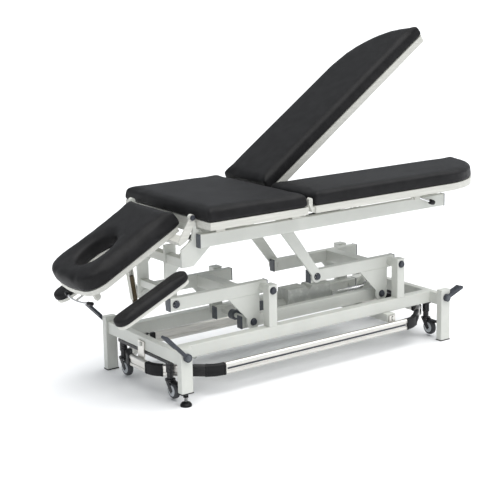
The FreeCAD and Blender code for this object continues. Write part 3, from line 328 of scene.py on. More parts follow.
@dataclass(frozen=True)
class GrainedVinyl:
    """Black upholstery vinyl with a fine leather grain and a soft sheen."""

    name: str = "vinyl"
    colour: Colour = (0.0082, 0.0080, 0.0086)
    roughness: float = 0.44
    grain: float = 620.0

    def make(self) -> bpy.types.Material:
        """Build the material."""
        sheet = ShaderSheet(self.name)
        crease = sheet.cells(self.grain).ramp(0.0, 0.22)
        wave = sheet.noise(9.0, 3.0)
        lighter = tuple(part * 1.5 for part in self.colour)
        sheet.set(Base_Color=sheet.blend(sheet.noise(24.0, 3.0).ramp(0.35, 0.7), self.colour, lighter),
                  Roughness=(1 - crease) * 0.12 + wave * 0.10 + (self.roughness - 0.05),
                  Specular_IOR_Level=0.16, Sheen_Weight=0.02)
        sheet.bump(crease * 0.55 + sheet.noise(180.0, 4.0) * 0.45, 0.22, 0.0008)
        return sheet.material


@dataclass(frozen=True)
class Moulding:
    """Moulded plastic or rubber, plain or slightly glossy."""

    name: str
    colour: Colour
    roughness: float = 0.48
    grain: float = 900.0
    relief: float = 0.12
    shine: float = 0.5

    def make(self) -> bpy.types.Material:
        """Build the material."""
        sheet = ShaderSheet(self.name)
        worn = tuple(min(part * 1.35 + 0.002, 1.0) for part in self.colour)
        sheet.set(Base_Color=sheet.blend(sheet.noise(40.0, 4.0).ramp(0.45, 0.8), self.colour, worn),
                  Roughness=sheet.noise(120.0, 2.0) * 0.14 + (self.roughness - 0.07),
                  Specular_IOR_Level=self.shine)
        sheet.bump(sheet.noise(self.grain, 2.0), self.relief, 0.0005)
        return sheet.material


@dataclass(frozen=True)
class Metal:
    """Bare or plated metal, with fine lines along the way it was drawn or turned."""

    name: str
    colour: Colour
    roughness: float
    lines: tuple[float, float, float] = (40.0, 40.0, 40.0)
    relief: float = 0.05

    def make(self) -> bpy.types.Material:
        """Build the material."""
        sheet = ShaderSheet(self.name)
        lines = sheet.noise(1.0, 3.0, sheet.stretched(self.lines))
        darker = tuple(part * 0.86 for part in self.colour)
        sheet.set(Base_Color=sheet.blend(lines.ramp(0.35, 0.65), darker, self.colour), Metallic=1.0,
                  Roughness=lines * 0.14 + (self.roughness - 0.07))
        sheet.bump(lines, self.relief, 0.0003)
        return sheet.material


@dataclass(frozen=True)
class PaintedBoard:
    """Plywood board with sealed, pale painted edges."""

    name: str = "painted_board"
    colour: Colour = (0.62, 0.615, 0.57)

    def make(self) -> bpy.types.Material:
        """Build the material."""
        sheet = ShaderSheet(self.name)
        grain = sheet.noise(1.0, 4.0, sheet.stretched((9.0, 160.0, 160.0)))
        darker = tuple(part * 0.90 for part in self.colour)
        sheet.set(Base_Color=sheet.blend(grain.ramp(0.4, 0.7), darker, self.colour),
                  Roughness=grain * 0.15 + 0.45)
        sheet.bump(grain, 0.08, 0.0008)
        return sheet.material


@dataclass(frozen=True)
class StudioPaper:
    """The white floor of the studio."""

    name: str = "studio_paper"
    colour: Colour = (0.93, 0.935, 0.95)
    shade: Colour = (0.90, 0.91, 0.93)

    def make(self) -> bpy.types.Material:
        """Build the material."""
        sheet = ShaderSheet(self.name)
        tone = sheet.noise(2.0, 2.0) * 0.02 + 0.99
        sheet.set(Base_Color=sheet.blend(tone, self.shade, self.colour), Roughness=0.8,
                  Specular_IOR_Level=0.05)
        return sheet.material


class Finish(Enum):
    """The finishes that the couch is made in."""

    PAINT = PowderCoat()
    VINYL = GrainedVinyl()
    BOARD = PaintedBoard()
    ARM_REST = BronzeStem()
    RAIL_END = RailEnd()
    BLACK = Moulding("black_plastic", (0.0065, 0.0065, 0.0075), 0.42, shine=0.22)
    PEDAL = Moulding("pedal_plastic", (0.030, 0.034, 0.045), 0.50)
    CAP = Moulding("cap_plastic", (0.075, 0.083, 0.095), 0.50)
    GREY = Moulding("drive_plastic", (0.47, 0.48, 0.45), 0.42)
    RUBBER = Moulding("tyre_rubber", (0.045, 0.047, 0.052), 0.62, 700.0, 0.2)
    BRONZE = Moulding("bronze_rack", (0.10, 0.075, 0.042), 0.35, 500.0, 0.06)
    HUB = Moulding("hub_plastic", (0.42, 0.44, 0.46), 0.35)
    ENAMEL = Moulding("black_enamel", (0.011, 0.011, 0.013), 0.28, 500.0, 0.06, 0.4)
    ZINC = Metal("zinc_plate", (0.62, 0.62, 0.61), 0.34)
    CHROME = Metal("chrome_plate", (0.82, 0.82, 0.83), 0.10, relief=0.01)
    ALUMINIUM = Metal("rail_aluminium", (0.70, 0.685, 0.65), 0.34, (14.0, 260.0, 260.0))


class Workshop:
    """Keeps the materials, dresses CAD nodes and turns meshes into riding pieces."""

    def __init__(self, datum: Datum) -> None:
        """Start with no materials made."""
        self.datum = datum
        self._made: dict[Finish, bpy.types.Material] = {}

    def material(self, finish: Finish) -> bpy.types.Material:
        """Give the material of a finish, making it the first time."""
        if finish not in self._made:
            self._made[finish] = finish.value.make()
        return self._made[finish]

    def dress(self, finish: Finish, *nodes: str) -> None:
        """Put a finish on CAD nodes.

        Args:
            finish: The finish.
            *nodes: The nodes' names.
        """
        for name in nodes:
            mesh = bpy.data.objects[name].data
            mesh.materials.clear()
            mesh.materials.append(self.material(finish))
        log.info("dressed %s in %s", ", ".join(nodes), finish.name.lower())

    def piece(self, name: str, mesh: bpy.types.Mesh, body: str, finish: Finish, slot: str) -> bpy.types.Object:
        """Turn a mesh into a piece that rides on a body.

        Args:
            name: The piece's name.
            mesh: Its mesh, in the shared frame.
            body: The body that it rides on.
            finish: Its finish.
            slot: The record's slot; not used.

        Returns:
            The object.
        """
        item = bpy.data.objects.new(name, mesh)
        bpy.context.scene.collection.objects.link(item)
        mesh.materials.clear()
        mesh.materials.append(self.material(finish))
        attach(item, body)
        log.info("made %s with %d faces", name, len(mesh.polygons))
        return item


def smooth_by_angle(mesh: bpy.types.Mesh, degrees: float = 35.0) -> None:
    """Shade a mesh smoothly, but keep edges sharper than an angle crisp."""
    work = bmesh.new()
    work.from_mesh(mesh)
    for face in work.faces:
        face.smooth = True
    for edge in work.edges:
        edge.smooth = len(edge.link_faces) == 2 and edge.calc_face_angle(0.0) < math.radians(degrees)
    work.to_mesh(mesh)
    work.free()


def joined(name: str, makers: Iterable[Callable[[bmesh.types.BMesh], None]]) -> bpy.types.Mesh:
    """Run several makers on one mesh.

    Args:
        name: The mesh's name.
        makers: Functions that each add a shape to the mesh they are given.

    Returns:
        The finished mesh, smooth where it is rounded.
    """
    work = bmesh.new()
    for maker in makers:
        maker(work)
    bmesh.ops.recalc_face_normals(work, faces=work.faces)
    mesh = bpy.data.meshes.new(name)
    work.to_mesh(mesh)
    work.free()
    smooth_by_angle(mesh)
    return mesh


def block(low: Vector, high: Vector, edge: float) -> Callable[[bmesh.types.BMesh], None]:
    """A block with rounded edges, between two corners.

    Args:
        low: The lowest corner.
        high: The highest corner.
        edge: The radius of its edges, in metres.

    Returns:
        A maker for joined().
    """
    def make(work: bmesh.types.BMesh) -> None:
        """Add the block."""
        centre = (low + high) / 2
        size = high - low
        place = Matrix.Translation(centre) @ Matrix.Diagonal((size.x, size.y, size.z, 1.0))
        corners = bmesh.ops.create_cube(work, size=1.0, matrix=place)["verts"]
        edges = list({e for corner in corners for e in corner.link_edges})
        bmesh.ops.bevel(work, geom=edges, offset=edge, segments=3, profile=0.5, affect="EDGES")

    return make


def lathe(centre: Vector, axis: Vector, profile: Sequence[tuple[float, float]], sides: int = 32
          ) -> Callable[[bmesh.types.BMesh], None]:
    """A turned shape.

    Args:
        centre: The place of height nought on its axis.
        axis: The direction that it stands along.
        profile: Radius and height pairs, in metres, from one end to the other.
        sides: How many flats go round it.

    Returns:
        A maker for joined().
    """
    def make(work: bmesh.types.BMesh) -> None:
        """Add the turned shape."""
        turn = Vector((0.0, 0.0, 1.0)).rotation_difference(axis.normalized()).to_matrix()
        rings = []
        for radius, height in profile:
            ring = []
            for step in range(sides):
                angle = 2 * math.pi * step / sides
                spot = Vector((radius * math.cos(angle), radius * math.sin(angle), height))
                ring.append(work.verts.new(centre + turn @ spot))
            rings.append(ring)
        for lower, upper in zip(rings, rings[1:]):
            for step in range(sides):
                after = (step + 1) % sides
                work.faces.new((lower[step], lower[after], upper[after], upper[step]))
        work.faces.new(list(reversed(rings[0])))
        work.faces.new(rings[-1])

    return make


class FlowTree:
    """A Geometry Nodes tree with named number inputs, which ends in Realize Instances and Set Material."""

    def __init__(self, name: str) -> None:
        """Start a tree whose input and output are geometry.

        Args:
            name: The tree's name.
        """
        self.tree = bpy.data.node_groups.new(name, "GeometryNodeTree")
        self.tree.is_modifier = True
        self.sockets: dict[str, str] = {}
        self.defaults: dict[str, float] = {}
        face = self.tree.interface
        face.new_socket("Geometry", in_out="INPUT", socket_type="NodeSocketGeometry")
        face.new_socket("Geometry", in_out="OUTPUT", socket_type="NodeSocketGeometry")
        self.entry = self.tree.nodes.new("NodeGroupInput")
        self.exit = self.tree.nodes.new("NodeGroupOutput")

    def size(self, name: str, value: float, whole: bool = False) -> bpy.types.NodeSocket:
        """Add a named input.

        Args:
            name: The input's name.
            value: The value it is given.
            whole: Whether it is a whole number.

        Returns:
            The socket inside the tree that carries it.
        """
        kind = "NodeSocketInt" if whole else "NodeSocketFloat"
        made = self.tree.interface.new_socket(name, in_out="INPUT", socket_type=kind)
        self.sockets[name] = made.identifier
        self.defaults[name] = int(value) if whole else float(value)
        return self.entry.outputs[name]

    def node(self, kind: str, settings: Optional[dict] = None, inputs: Optional[dict] = None) -> bpy.types.Node:
        """Add a node, with its settings first and then its inputs."""
        made = self.tree.nodes.new(kind)
        for key, value in (settings or {}).items():
            setattr(made, key, value)
        for key, value in (inputs or {}).items():
            if isinstance(value, bpy.types.NodeSocket):
                self.tree.links.new(value, made.inputs[key])
            else:
                made.inputs[key].default_value = value
        return made

    def finish(self, instances: bpy.types.NodeSocket, material: bpy.types.Material) -> None:
        """Realize the instances, set their material and close the tree."""
        real = self.node("GeometryNodeRealizeInstances", None, {0: instances})
        dressed = self.node("GeometryNodeSetMaterial", None, {0: real.outputs[0], "Material": material})
        self.tree.links.new(dressed.outputs[0], self.exit.inputs[0])

    def run(self, start: bpy.types.Mesh) -> bpy.types.Mesh:
        """Apply the tree to a mesh.

        Args:
            start: The mesh that the tree is given.

        Returns:
            A plain mesh with no modifier left.
        """
        carrier = bpy.data.objects.new("carrier", start)
        bpy.context.scene.collection.objects.link(carrier)
        modifier = carrier.modifiers.new("flow", "NODES")
        modifier.node_group = self.tree
        for name, identifier in self.sockets.items():
            modifier[identifier] = self.defaults[name]
        carrier.update_tag()
        graph = bpy.context.evaluated_depsgraph_get()
        mesh = bpy.data.meshes.new_from_object(carrier.evaluated_get(graph))
        bpy.data.objects.remove(carrier)
        smooth_by_angle(mesh)
        return mesh


def marks(places: Sequence[Vector], facing: Sequence[Vector]) -> bpy.types.Mesh:
    """Points with the direction that each faces, for a pattern to stand on.

    Args:
        places: Where the points are.
        facing: The direction of each.

    Returns:
        A mesh of loose points.
    """
    mesh = bpy.data.meshes.new("marks")
    mesh.from_pydata([tuple(place) for place in places], [], [])
    store = mesh.attributes.new("facing", "FLOAT_VECTOR", "POINT")
    store.data.foreach_set("vector", [part for way in facing for part in way])
    return mesh


@dataclass
class FastenerPattern:
    """Round-headed fasteners: a washer, a low drum and a bevelled top, repeated by Geometry Nodes."""

    workshop: Workshop
    radius: float
    height: float
    washer: float = 1.25
    sides: int = 20

    def make(self, name: str, body: str, finish: Finish, slot: str, places: Sequence[Vector],
             facing: Sequence[Vector]) -> bpy.types.Object:
        """Stand one fastener on each place.

        Args:
            name: The piece's name.
            body: The body that it rides on.
            finish: Its finish.
            slot: The record's slot.
            places: Where the fasteners stand.
            facing: The way each points.

        Returns:
            The piece.
        """
        flow = FlowTree(name + "_flow")
        radius = flow.size("Radius", self.radius)
        height = flow.size("Height", self.height)
        washer = flow.size("Washer Radius", self.radius * self.washer)
        drum = flow.node("GeometryNodeMeshCylinder", None,
                         {"Vertices": self.sides, "Radius": radius, "Depth": height})
        top_radius = flow.node("ShaderNodeMath", {"operation": "MULTIPLY"}, {0: radius, 1: 0.72})
        crown_height = flow.node("ShaderNodeMath", {"operation": "MULTIPLY"}, {0: height, 1: 0.35})
        crown = flow.node("GeometryNodeMeshCone", None,
                          {"Vertices": self.sides, "Radius Top": top_radius.outputs[0], "Radius Bottom": radius,
                           "Depth": crown_height.outputs[0]})
        half = flow.node("ShaderNodeMath", {"operation": "MULTIPLY"}, {0: height, 1: 0.5})
        lift = flow.node("ShaderNodeCombineXYZ", None, {2: half.outputs[0]})
        raised = flow.node("GeometryNodeTransform", None, {0: drum.outputs[0], "Translation": lift.outputs[0]})
        above = flow.node("ShaderNodeCombineXYZ", None, {2: height})
        crowned = flow.node("GeometryNodeTransform", None, {0: crown.outputs[0], "Translation": above.outputs[0]})
        flange = flow.node("GeometryNodeMeshCylinder", None, {"Vertices": self.sides, "Radius": washer,
                                                              "Depth": 0.0012})
        whole = flow.node("GeometryNodeJoinGeometry")
        for part in (raised, crowned, flange):
            flow.tree.links.new(part.outputs[0], whole.inputs[0])
        way = flow.node("GeometryNodeInputNamedAttribute", {"data_type": "FLOAT_VECTOR"}, {"Name": "facing"})
        turn = flow.node("FunctionNodeAlignRotationToVector", {"axis": "Z"}, {"Vector": way.outputs[0]})
        spread = flow.node("GeometryNodeInstanceOnPoints", None,
                           {"Points": flow.entry.outputs[0], "Instance": whole.outputs[0],
                            "Rotation": turn.outputs[0]})
        flow.finish(spread.outputs[0], self.workshop.material(finish))
        mesh = flow.run(marks(places, facing))
        return self.workshop.piece(name, mesh, body, finish, slot)


@dataclass
class RingPattern:
    """Equal rings along a straight line, for threads, ribs and collars."""

    workshop: Workshop
    ring: float
    wire: float
    count: int
    sides: int = 28

    def make(self, name: str, body: str, finish: Finish, slot: str, start: Vector, step: Vector
             ) -> bpy.types.Object:
        """Lay the rings from a start by equal steps.

        Args:
            name: The piece's name.
            body: The body that it rides on.
            finish: Its finish.
            slot: The record's slot.
            start: The first ring's centre.
            step: The way and distance from one ring to the next.

        Returns:
            The piece.
        """
        flow = FlowTree(name + "_flow")
        ring = flow.size("Ring Radius", self.ring)
        wire = flow.size("Wire Radius", self.wire)
        count = flow.size("Count", self.count, whole=True)
        path = flow.node("GeometryNodeCurvePrimitiveCircle", None, {"Resolution": self.sides, "Radius": ring})
        section = flow.node("GeometryNodeCurvePrimitiveCircle", None, {"Resolution": 8, "Radius": wire})
        torus = flow.node("GeometryNodeCurveToMesh", None, {0: path.outputs[0], 1: section.outputs[0]})
        line = flow.node("GeometryNodeMeshLine", None, {"Count": count, "Start Location": start, "Offset": step})
        turn = flow.node("FunctionNodeAlignRotationToVector", {"axis": "Z"}, {"Vector": step.normalized()})
        spread = flow.node("GeometryNodeInstanceOnPoints", None,
                           {"Points": line.outputs[0], "Instance": torus.outputs[0], "Rotation": turn.outputs[0]})
        flow.finish(spread.outputs[0], self.workshop.material(finish))
        mesh = flow.run(bpy.data.meshes.new("empty"))
        return self.workshop.piece(name, mesh, body, finish, slot)


@dataclass
class ToothPattern:
    """Small equal bars along a straight line, for the teeth of a rack."""

    workshop: Workshop
    size: tuple[float, float, float]
    count: int

    def make(self, name: str, body: str, finish: Finish, slot: str, start: Vector, step: Vector
             ) -> bpy.types.Object:
        """Lay the teeth from a start by equal steps.

        Args:
            name: The piece's name.
            body: The body that it rides on.
            finish: Its finish.
            slot: The record's slot.
            start: The first tooth's centre.
            step: The way and distance from one tooth to the next.

        Returns:
            The piece.
        """
        flow = FlowTree(name + "_flow")
        parts = [flow.size(axis, value) for axis, value in zip(("Length", "Depth", "Height"), self.size)]
        count = flow.size("Count", self.count, whole=True)
        size = flow.node("ShaderNodeCombineXYZ", None, dict(enumerate(parts)))
        tooth = flow.node("GeometryNodeMeshCube", None, {"Size": size.outputs[0]})
        line = flow.node("GeometryNodeMeshLine", None, {"Count": count, "Start Location": start, "Offset": step})
        turn = flow.node("FunctionNodeAlignRotationToVector", {"axis": "Z"}, {"Vector": step.normalized()})
        spread = flow.node("GeometryNodeInstanceOnPoints", None,
                           {"Points": line.outputs[0], "Instance": tooth.outputs[0], "Rotation": turn.outputs[0]})
        flow.finish(spread.outputs[0], self.workshop.material(finish))
        mesh = flow.run(bpy.data.meshes.new("empty"))
        return self.workshop.piece(name, mesh, body, finish, slot)


@dataclass
class PadMaker:
    """Makes an upholstered pad from its plain CAD solid: foam pushed out under a stretched cover."""

    workshop: Workshop
    node: str
    body: str
    pivot: Vector
    turn: float
    voxel: float = 0.0055
    softness: int = 12
    swell: float = 0.008
    pressure: float = 4.0
    frames: int = 20

    def level(self, back: bool = False) -> Matrix:
        """The turn about the section's hinge that lays the pad level, or the turn back."""
        angle = math.radians(self.turn if back else -self.turn)
        return (Matrix.Translation(self.pivot) @ Matrix.Rotation(angle, 4, "Y")
                @ Matrix.Translation(-self.pivot))

    def block_mesh(self) -> bpy.types.Mesh:
        """Copy the solid, level it and merge its corners."""
        work = bmesh.new()
        work.from_mesh(bpy.data.objects[self.node].data)
        bmesh.ops.transform(work, matrix=self.level(), verts=work.verts)
        bmesh.ops.remove_doubles(work, verts=work.verts, dist=0.00002)
        bmesh.ops.dissolve_limit(work, angle_limit=math.radians(3), verts=work.verts, edges=work.edges)
        bmesh.ops.triangulate(work, faces=work.faces)
        bmesh.ops.recalc_face_normals(work, faces=work.faces)
        mesh = bpy.data.meshes.new(self.node + "_foam")
        work.to_mesh(mesh)
        work.free()
        return mesh

    def make(self) -> bpy.types.Object:
        """Make the pad.

        Returns:
            The piece that stands for the CAD node.
        """
        item = bpy.data.objects.new(self.node + "_cover", self.block_mesh())
        bpy.context.scene.collection.objects.link(item)
        remesh = item.modifiers.new("remesh", "REMESH")
        remesh.mode = "VOXEL"
        remesh.voxel_size = self.voxel
        remesh.use_smooth_shade = True
        self.apply(item)
        soften = item.modifiers.new("soften", "SMOOTH")
        soften.factor = 0.5
        soften.iterations = self.softness
        self.apply(item)
        self.inflate(item)
        smooth = item.modifiers.new("smooth", "SMOOTH")
        smooth.factor = 0.5
        smooth.iterations = 2 * self.softness
        divide = item.modifiers.new("divide", "SUBSURF")
        divide.levels = 1
        divide.render_levels = 1
        self.apply(item)
        mesh = item.data
        mesh.transform(self.level(back=True))
        bpy.data.objects.remove(item)
        mesh.polygons.foreach_set("use_smooth", [True] * len(mesh.polygons))
        cover = self.workshop.piece(self.node + "_cover", mesh, self.body, Finish.VINYL, "vinyl")
        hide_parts(self.node)
        return cover

    @staticmethod
    def apply(item: bpy.types.Object) -> None:
        """Turn an object's modifiers into its mesh."""
        graph = bpy.context.evaluated_depsgraph_get()
        mesh = bpy.data.meshes.new_from_object(item.evaluated_get(graph))
        item.modifiers.clear()
        item.data = mesh

    def inflate(self, item: bpy.types.Object) -> None:
        """Press the cover out with a short cloth simulation, holding what lies on the board.

        Args:
            item: The remeshed pad.
        """
        mesh = item.data
        start = [vert.co.copy() for vert in mesh.vertices]
        low = min(spot.z for spot in start)
        held = item.vertex_groups.new(name="held")
        held.add([vert.index for vert in mesh.vertices if vert.co.z < low + 0.003], 1.0, "REPLACE")
        cloth = item.modifiers.new("cloth", "CLOTH")
        rules = cloth.settings
        rules.use_pressure = True
        rules.uniform_pressure_force = self.pressure
        rules.vertex_group_mass = "held"
        rules.effector_weights.gravity = 0.0
        rules.quality = 4
        scene = bpy.context.scene
        cloth.point_cache.frame_start = 1
        cloth.point_cache.frame_end = self.frames
        for frame in range(1, self.frames + 1):
            scene.frame_set(frame)
        graph = bpy.context.evaluated_depsgraph_get()
        moved = bpy.data.meshes.new_from_object(item.evaluated_get(graph))
        item.modifiers.clear()
        for vert, home in zip(moved.vertices, start):
            step = vert.co - home
            if step.length > self.swell:
                vert.co = home + step.normalized() * self.swell
        item.data = moved
        scene.frame_set(1)


@dataclass
class Upholstery:
    """The six pads."""

    workshop: Workshop
    head_pivot: tuple[float, float, float] = (112.0, 0.0, 690.0)
    head_droop: float = 28.4
    leg_pivot: tuple[float, float, float] = (606.0, 0.0, 703.0)
    far_leg_raise: float = 35.0
    arm_low: tuple[float, float, float] = (-221.7, 0.0, 326.9)
    arm_slope: float = 24.9

    def make(self) -> None:
        """Make every pad, each turned as its section is."""
        at = self.workshop.datum.at
        head = at(*self.head_pivot)
        leg = at(*self.leg_pivot)
        arm = at(*self.arm_low)
        PadMaker(self.workshop, "middle_pad", "upper_frame", leg, 0.0).make()
        PadMaker(self.workshop, "head_pad", "head_section", head, -self.head_droop,
                 softness=16, swell=0.008).make()
        PadMaker(self.workshop, "leg_pad_near", "leg_near", leg, 0.0).make()
        PadMaker(self.workshop, "leg_pad_far", "leg_far", leg, -self.far_leg_raise).make()
        for side in ("near", "far"):
            PadMaker(self.workshop, f"arm_rest_pad_{side}", f"arm_rest_{side}", arm, -self.arm_slope,
                     voxel=0.004, softness=8, swell=0.005).make()


@dataclass
class TubeCaps:
    """Dark plastic caps over the open ends of the painted tubes."""

    workshop: Workshop
    thickness: float = 4.0
    proud: float = 0.7

    def cap(self, x: float, y0: float, y1: float, z0: float, z1: float, outward: int
            ) -> Callable[[bmesh.types.BMesh], None]:
        """One cap on a tube end that faces along X.

        Args:
            x: The tube's end face.
            y0: The lower Y of the tube.
            y1: The upper Y of the tube.
            z0: The tube's underside.
            z1: The tube's top.
            outward: One towards the foot end, minus one towards the head end.

        Returns:
            A maker for joined().
        """
        at = self.workshop.datum.at
        inner, outer = sorted((x - outward * self.thickness, x + outward * self.proud))
        edge = self.proud
        return block(at(inner, y0 - edge, z0 - edge), at(outer, y1 + edge, z1 + edge), 0.0012)

    def make(self) -> None:
        """Cap the lift arms, the tie bars and the upper beams."""
        caps = {"lift_arm_1": [], "lift_arm_2": [], "tie_bars": [], "upper_frame": []}
        for body, pivot in (("lift_arm_1", 484.0), ("lift_arm_2", 1154.0)):
            for y0, y1 in ((-137.0, -107.0), (107.0, 137.0)):
                caps[body].append(self.cap(pivot - 428.0, y0, y1, 323.0, 373.0, -1))
                caps[body].append(self.cap(pivot + 28.0, y0, y1, 323.0, 373.0, 1))
        for y0, y1 in ((-104.0, -73.0), (73.0, 104.0)):
            caps["tie_bars"].append(self.cap(406.0, y0, y1, 182.0, 232.0, -1))
            caps["tie_bars"].append(self.cap(1148.0, y0, y1, 182.0, 232.0, 1))
        for y0, y1 in ((-238.0, -213.0), (213.0, 238.0)):
            caps["upper_frame"].append(self.cap(132.0, y0, y1, 575.0, 626.0, -1))
            caps["upper_frame"].append(self.cap(1371.0, y0, y1, 575.0, 626.0, 1))
        for body, makers in caps.items():
            self.workshop.piece(body + "_end_caps", joined(body, makers), body, Finish.CAP, "dark_plastic")


@dataclass
class PivotCovers:
    """Black covers over the bolt heads at the lift's pivots."""

    workshop: Workshop
    radius: float = 12.4
    height: float = 7.0

    def make(self) -> None:
        """Cover each head where it stands."""
        at = self.workshop.datum.at
        places: dict[str, list[tuple[float, float, float]]] = {
            "base": [(484.0, 210.0, 348.0), (1154.0, 210.0, 348.0)],
            "upper_frame": [(84.0, 137.5, 348.0), (754.0, 147.5, 348.0)],
            "lift_arm_1": [(442.0, 135.0, 213.0)],
            "lift_arm_2": [(1112.0, 135.0, 213.0)],
        }
        pattern = FastenerPattern(self.workshop, self.radius * MM, self.height * MM)
        for body, spots in places.items():
            both = [at(x, side * y, z) for x, y, z in spots for side in (-1, 1)]
            ways = [Vector((0.0, side, 0.0)) for _ in spots for side in (-1, 1)]
            pattern.make(body + "_pivot_covers", body, Finish.PEDAL, "dark_plastic", both, ways)


@dataclass
class Base:
    """End frames, long beams and the caps under the posts."""

    workshop: Workshop
    post_x: float = 50.0
    post_y: float = 30.0
    half_width: float = 293.0
    length: float = 1360.0
    cap_height: float = 4.2
    cap_proud: float = 1.2

    def make(self) -> None:
        """Dress the base and cap its posts."""
        self.workshop.dress(Finish.PAINT, "end_frame_head", "end_frame_foot", "base_side_near",
                            "base_side_far", "low_cross_tube")
        at = self.workshop.datum.at
        inner = self.half_width - self.post_y
        proud = self.cap_proud
        makers = []
        for x0 in (0.0, self.length - self.post_x):
            for side in (-1, 1):
                bottom = 48.0 if side < 0 and x0 == 0.0 else 0.05
                y0, y1 = sorted((side * (inner - proud), side * (self.half_width + proud)))
                makers.append(block(at(x0 - proud, y0, bottom),
                                    at(x0 + self.post_x + proud, y1, bottom + self.cap_height), 0.001))
        self.workshop.piece("post_foot_caps", joined("post_foot_caps", makers), "base", Finish.BLACK,
                            "dark_plastic")


@dataclass
class ScrewFoot:
    """The levelling foot under the near head post."""

    workshop: Workshop
    thread: tuple[float, float, float] = (25.0, -278.0, 19.0)
    stem_radius: float = 6.0
    pitch: float = 1.9
    turns: int = 15

    def make(self) -> None:
        """Dress the foot and cut a thread on its stem."""
        self.workshop.dress(Finish.BLACK, "screw_foot")
        pattern = RingPattern(self.workshop, self.stem_radius * MM, 0.75 * MM, self.turns)
        pattern.make("screw_foot_thread", "screw_foot", Finish.ZINC, "zinc_steel",
                     self.workshop.datum.at(*self.thread), Vector((0.0, 0.0, self.pitch * MM)))


@dataclass
class Pedals:
    """The foot levers on both ends, with ribbed treads."""

    workshop: Workshop
    shaft: tuple[float, float] = (25.0, 190.0)
    inner: float = 276.0
    outer: float = 304.0
    rib_radius: float = 1.0
    ribs: int = 7

    def make(self) -> None:
        """Dress the levers, cap their bosses and lay ribs on the treads."""
        shop = self.workshop
        shop.dress(Finish.PEDAL, "pedals_head", "pedals_foot")
        at = shop.datum.at
        bosses = FastenerPattern(shop, 0.0095, 0.003, sides=24)
        for end, x, tip in (("head", 25.0, (-64.0, 282.0)), ("foot", 1335.0, (1418.0, 222.0))):
            places = [at(x, side * 305.5, self.shaft[1]) for side in (-1, 1)]
            bosses.make(f"pedal_bosses_{end}", f"pedals_{end}", Finish.CAP, "dark_plastic", places,
                        [Vector((0.0, side, 0.0)) for side in (-1, 1)])
            along = Vector((tip[0] - x, 0.0, tip[1] - self.shaft[1])).normalized()
            up = Vector((along.z, 0.0, -along.x)) * (1.0 if along.x < 0 else -1.0)
            makers = []
            for side in (-1, 1):
                for index in range(self.ribs):
                    back = 3.0 + 4.5 * index
                    spot = at(tip[0] - along.x * back + up.x * 5.4, 0.0, tip[1] - along.z * back + up.z * 5.4)
                    low, high = sorted((side * self.inner * MM, side * self.outer * MM))
                    rib = [(0.0002, low), (self.rib_radius * MM, low + 0.001), (self.rib_radius * MM, high - 0.001),
                           (0.0002, high)]
                    makers.append(lathe(spot, Vector((0.0, 1.0, 0.0)), rib, 10))
            shop.piece(f"pedal_ribs_{end}", joined("ribs", makers), f"pedals_{end}", Finish.PEDAL, "dark_plastic")


@dataclass
class Castors:
    """Carriers, forks and wheels, with pale hub discs and a brake tab on each fork."""

    workshop: Workshop
    trail: float = 25.0
    wheel_z: float = 38.0
    disc_from_centre: float = 11.2
    leg_gap: float = 26.0
    brake_height: float = 33.2

    def make(self) -> None:
        """Dress the castors and add their small parts."""
        shop = self.workshop
        shop.dress(Finish.ENAMEL, "castor_carrier_head", "castor_carrier_foot")
        at = shop.datum.at
        disc = [(0.0215, 0.0), (0.0215, 0.0012), (0.019, 0.0022), (0.0125, 0.0014), (0.0085, 0.0014),
                (0.0075, 0.0026), (0.0052, 0.0026)]
        tread = [(0.0302, -0.0045), (0.0316, -0.0040), (0.0316, -0.0015), (0.0308, -0.0008), (0.0308, 0.0008),
                 (0.0316, 0.0015), (0.0316, 0.0040), (0.0302, 0.0045)]
        for end, x in (("head", 25.0), ("foot", 1335.0)):
            for side, pin_y in (("near", -172.0), ("far", 172.0)):
                shop.dress(Finish.ENAMEL, f"castor_fork_{end}_{side}")
                shop.dress(Finish.RUBBER, f"castor_wheel_{end}_{side}")
                y = pin_y - self.trail
                makers = [lathe(at(x + out * self.disc_from_centre, y, self.wheel_z), Vector((out, 0.0, 0.0)), disc)
                          for out in (-1.0, 1.0)]
                shop.piece(f"wheel_disc_{end}_{side}", joined("disc", makers), f"wheel_{end}_{side}", Finish.HUB,
                           "zinc_steel")
                rim = joined("tread", [lathe(at(x, y, self.wheel_z), Vector((1.0, 0.0, 0.0)), tread, 48)])
                shop.piece(f"wheel_tread_{end}_{side}", rim, f"wheel_{end}_{side}", Finish.RUBBER, "tyre")
                shop.piece(f"brake_tab_{end}_{side}", joined("tab", self.brake(x, y)), f"fork_{end}_{side}",
                           Finish.BLACK, "dark_plastic")

    def brake(self, x: float, y: float) -> list[Callable[[bmesh.types.BMesh], None]]:
        """A thin plate between the fork's legs, over the tyre, with a thicker tread at its free end.

        Args:
            x: The middle of the wheel, along the couch.
            y: The wheel's axle, across the couch.

        Returns:
            Makers for joined().
        """
        at = self.workshop.datum.at
        top = self.wheel_z + self.brake_height
        half = self.leg_gap / 2 + 0.1
        plate = block(at(x - half, y - 33.0, top - 1.3), at(x + half, y + 20.0, top), 0.0004)
        tread = block(at(x - 11.0, y - 38.0, top - 8.0), at(x + 11.0, y - 26.0, top), 0.0015)
        return [plate, tread]


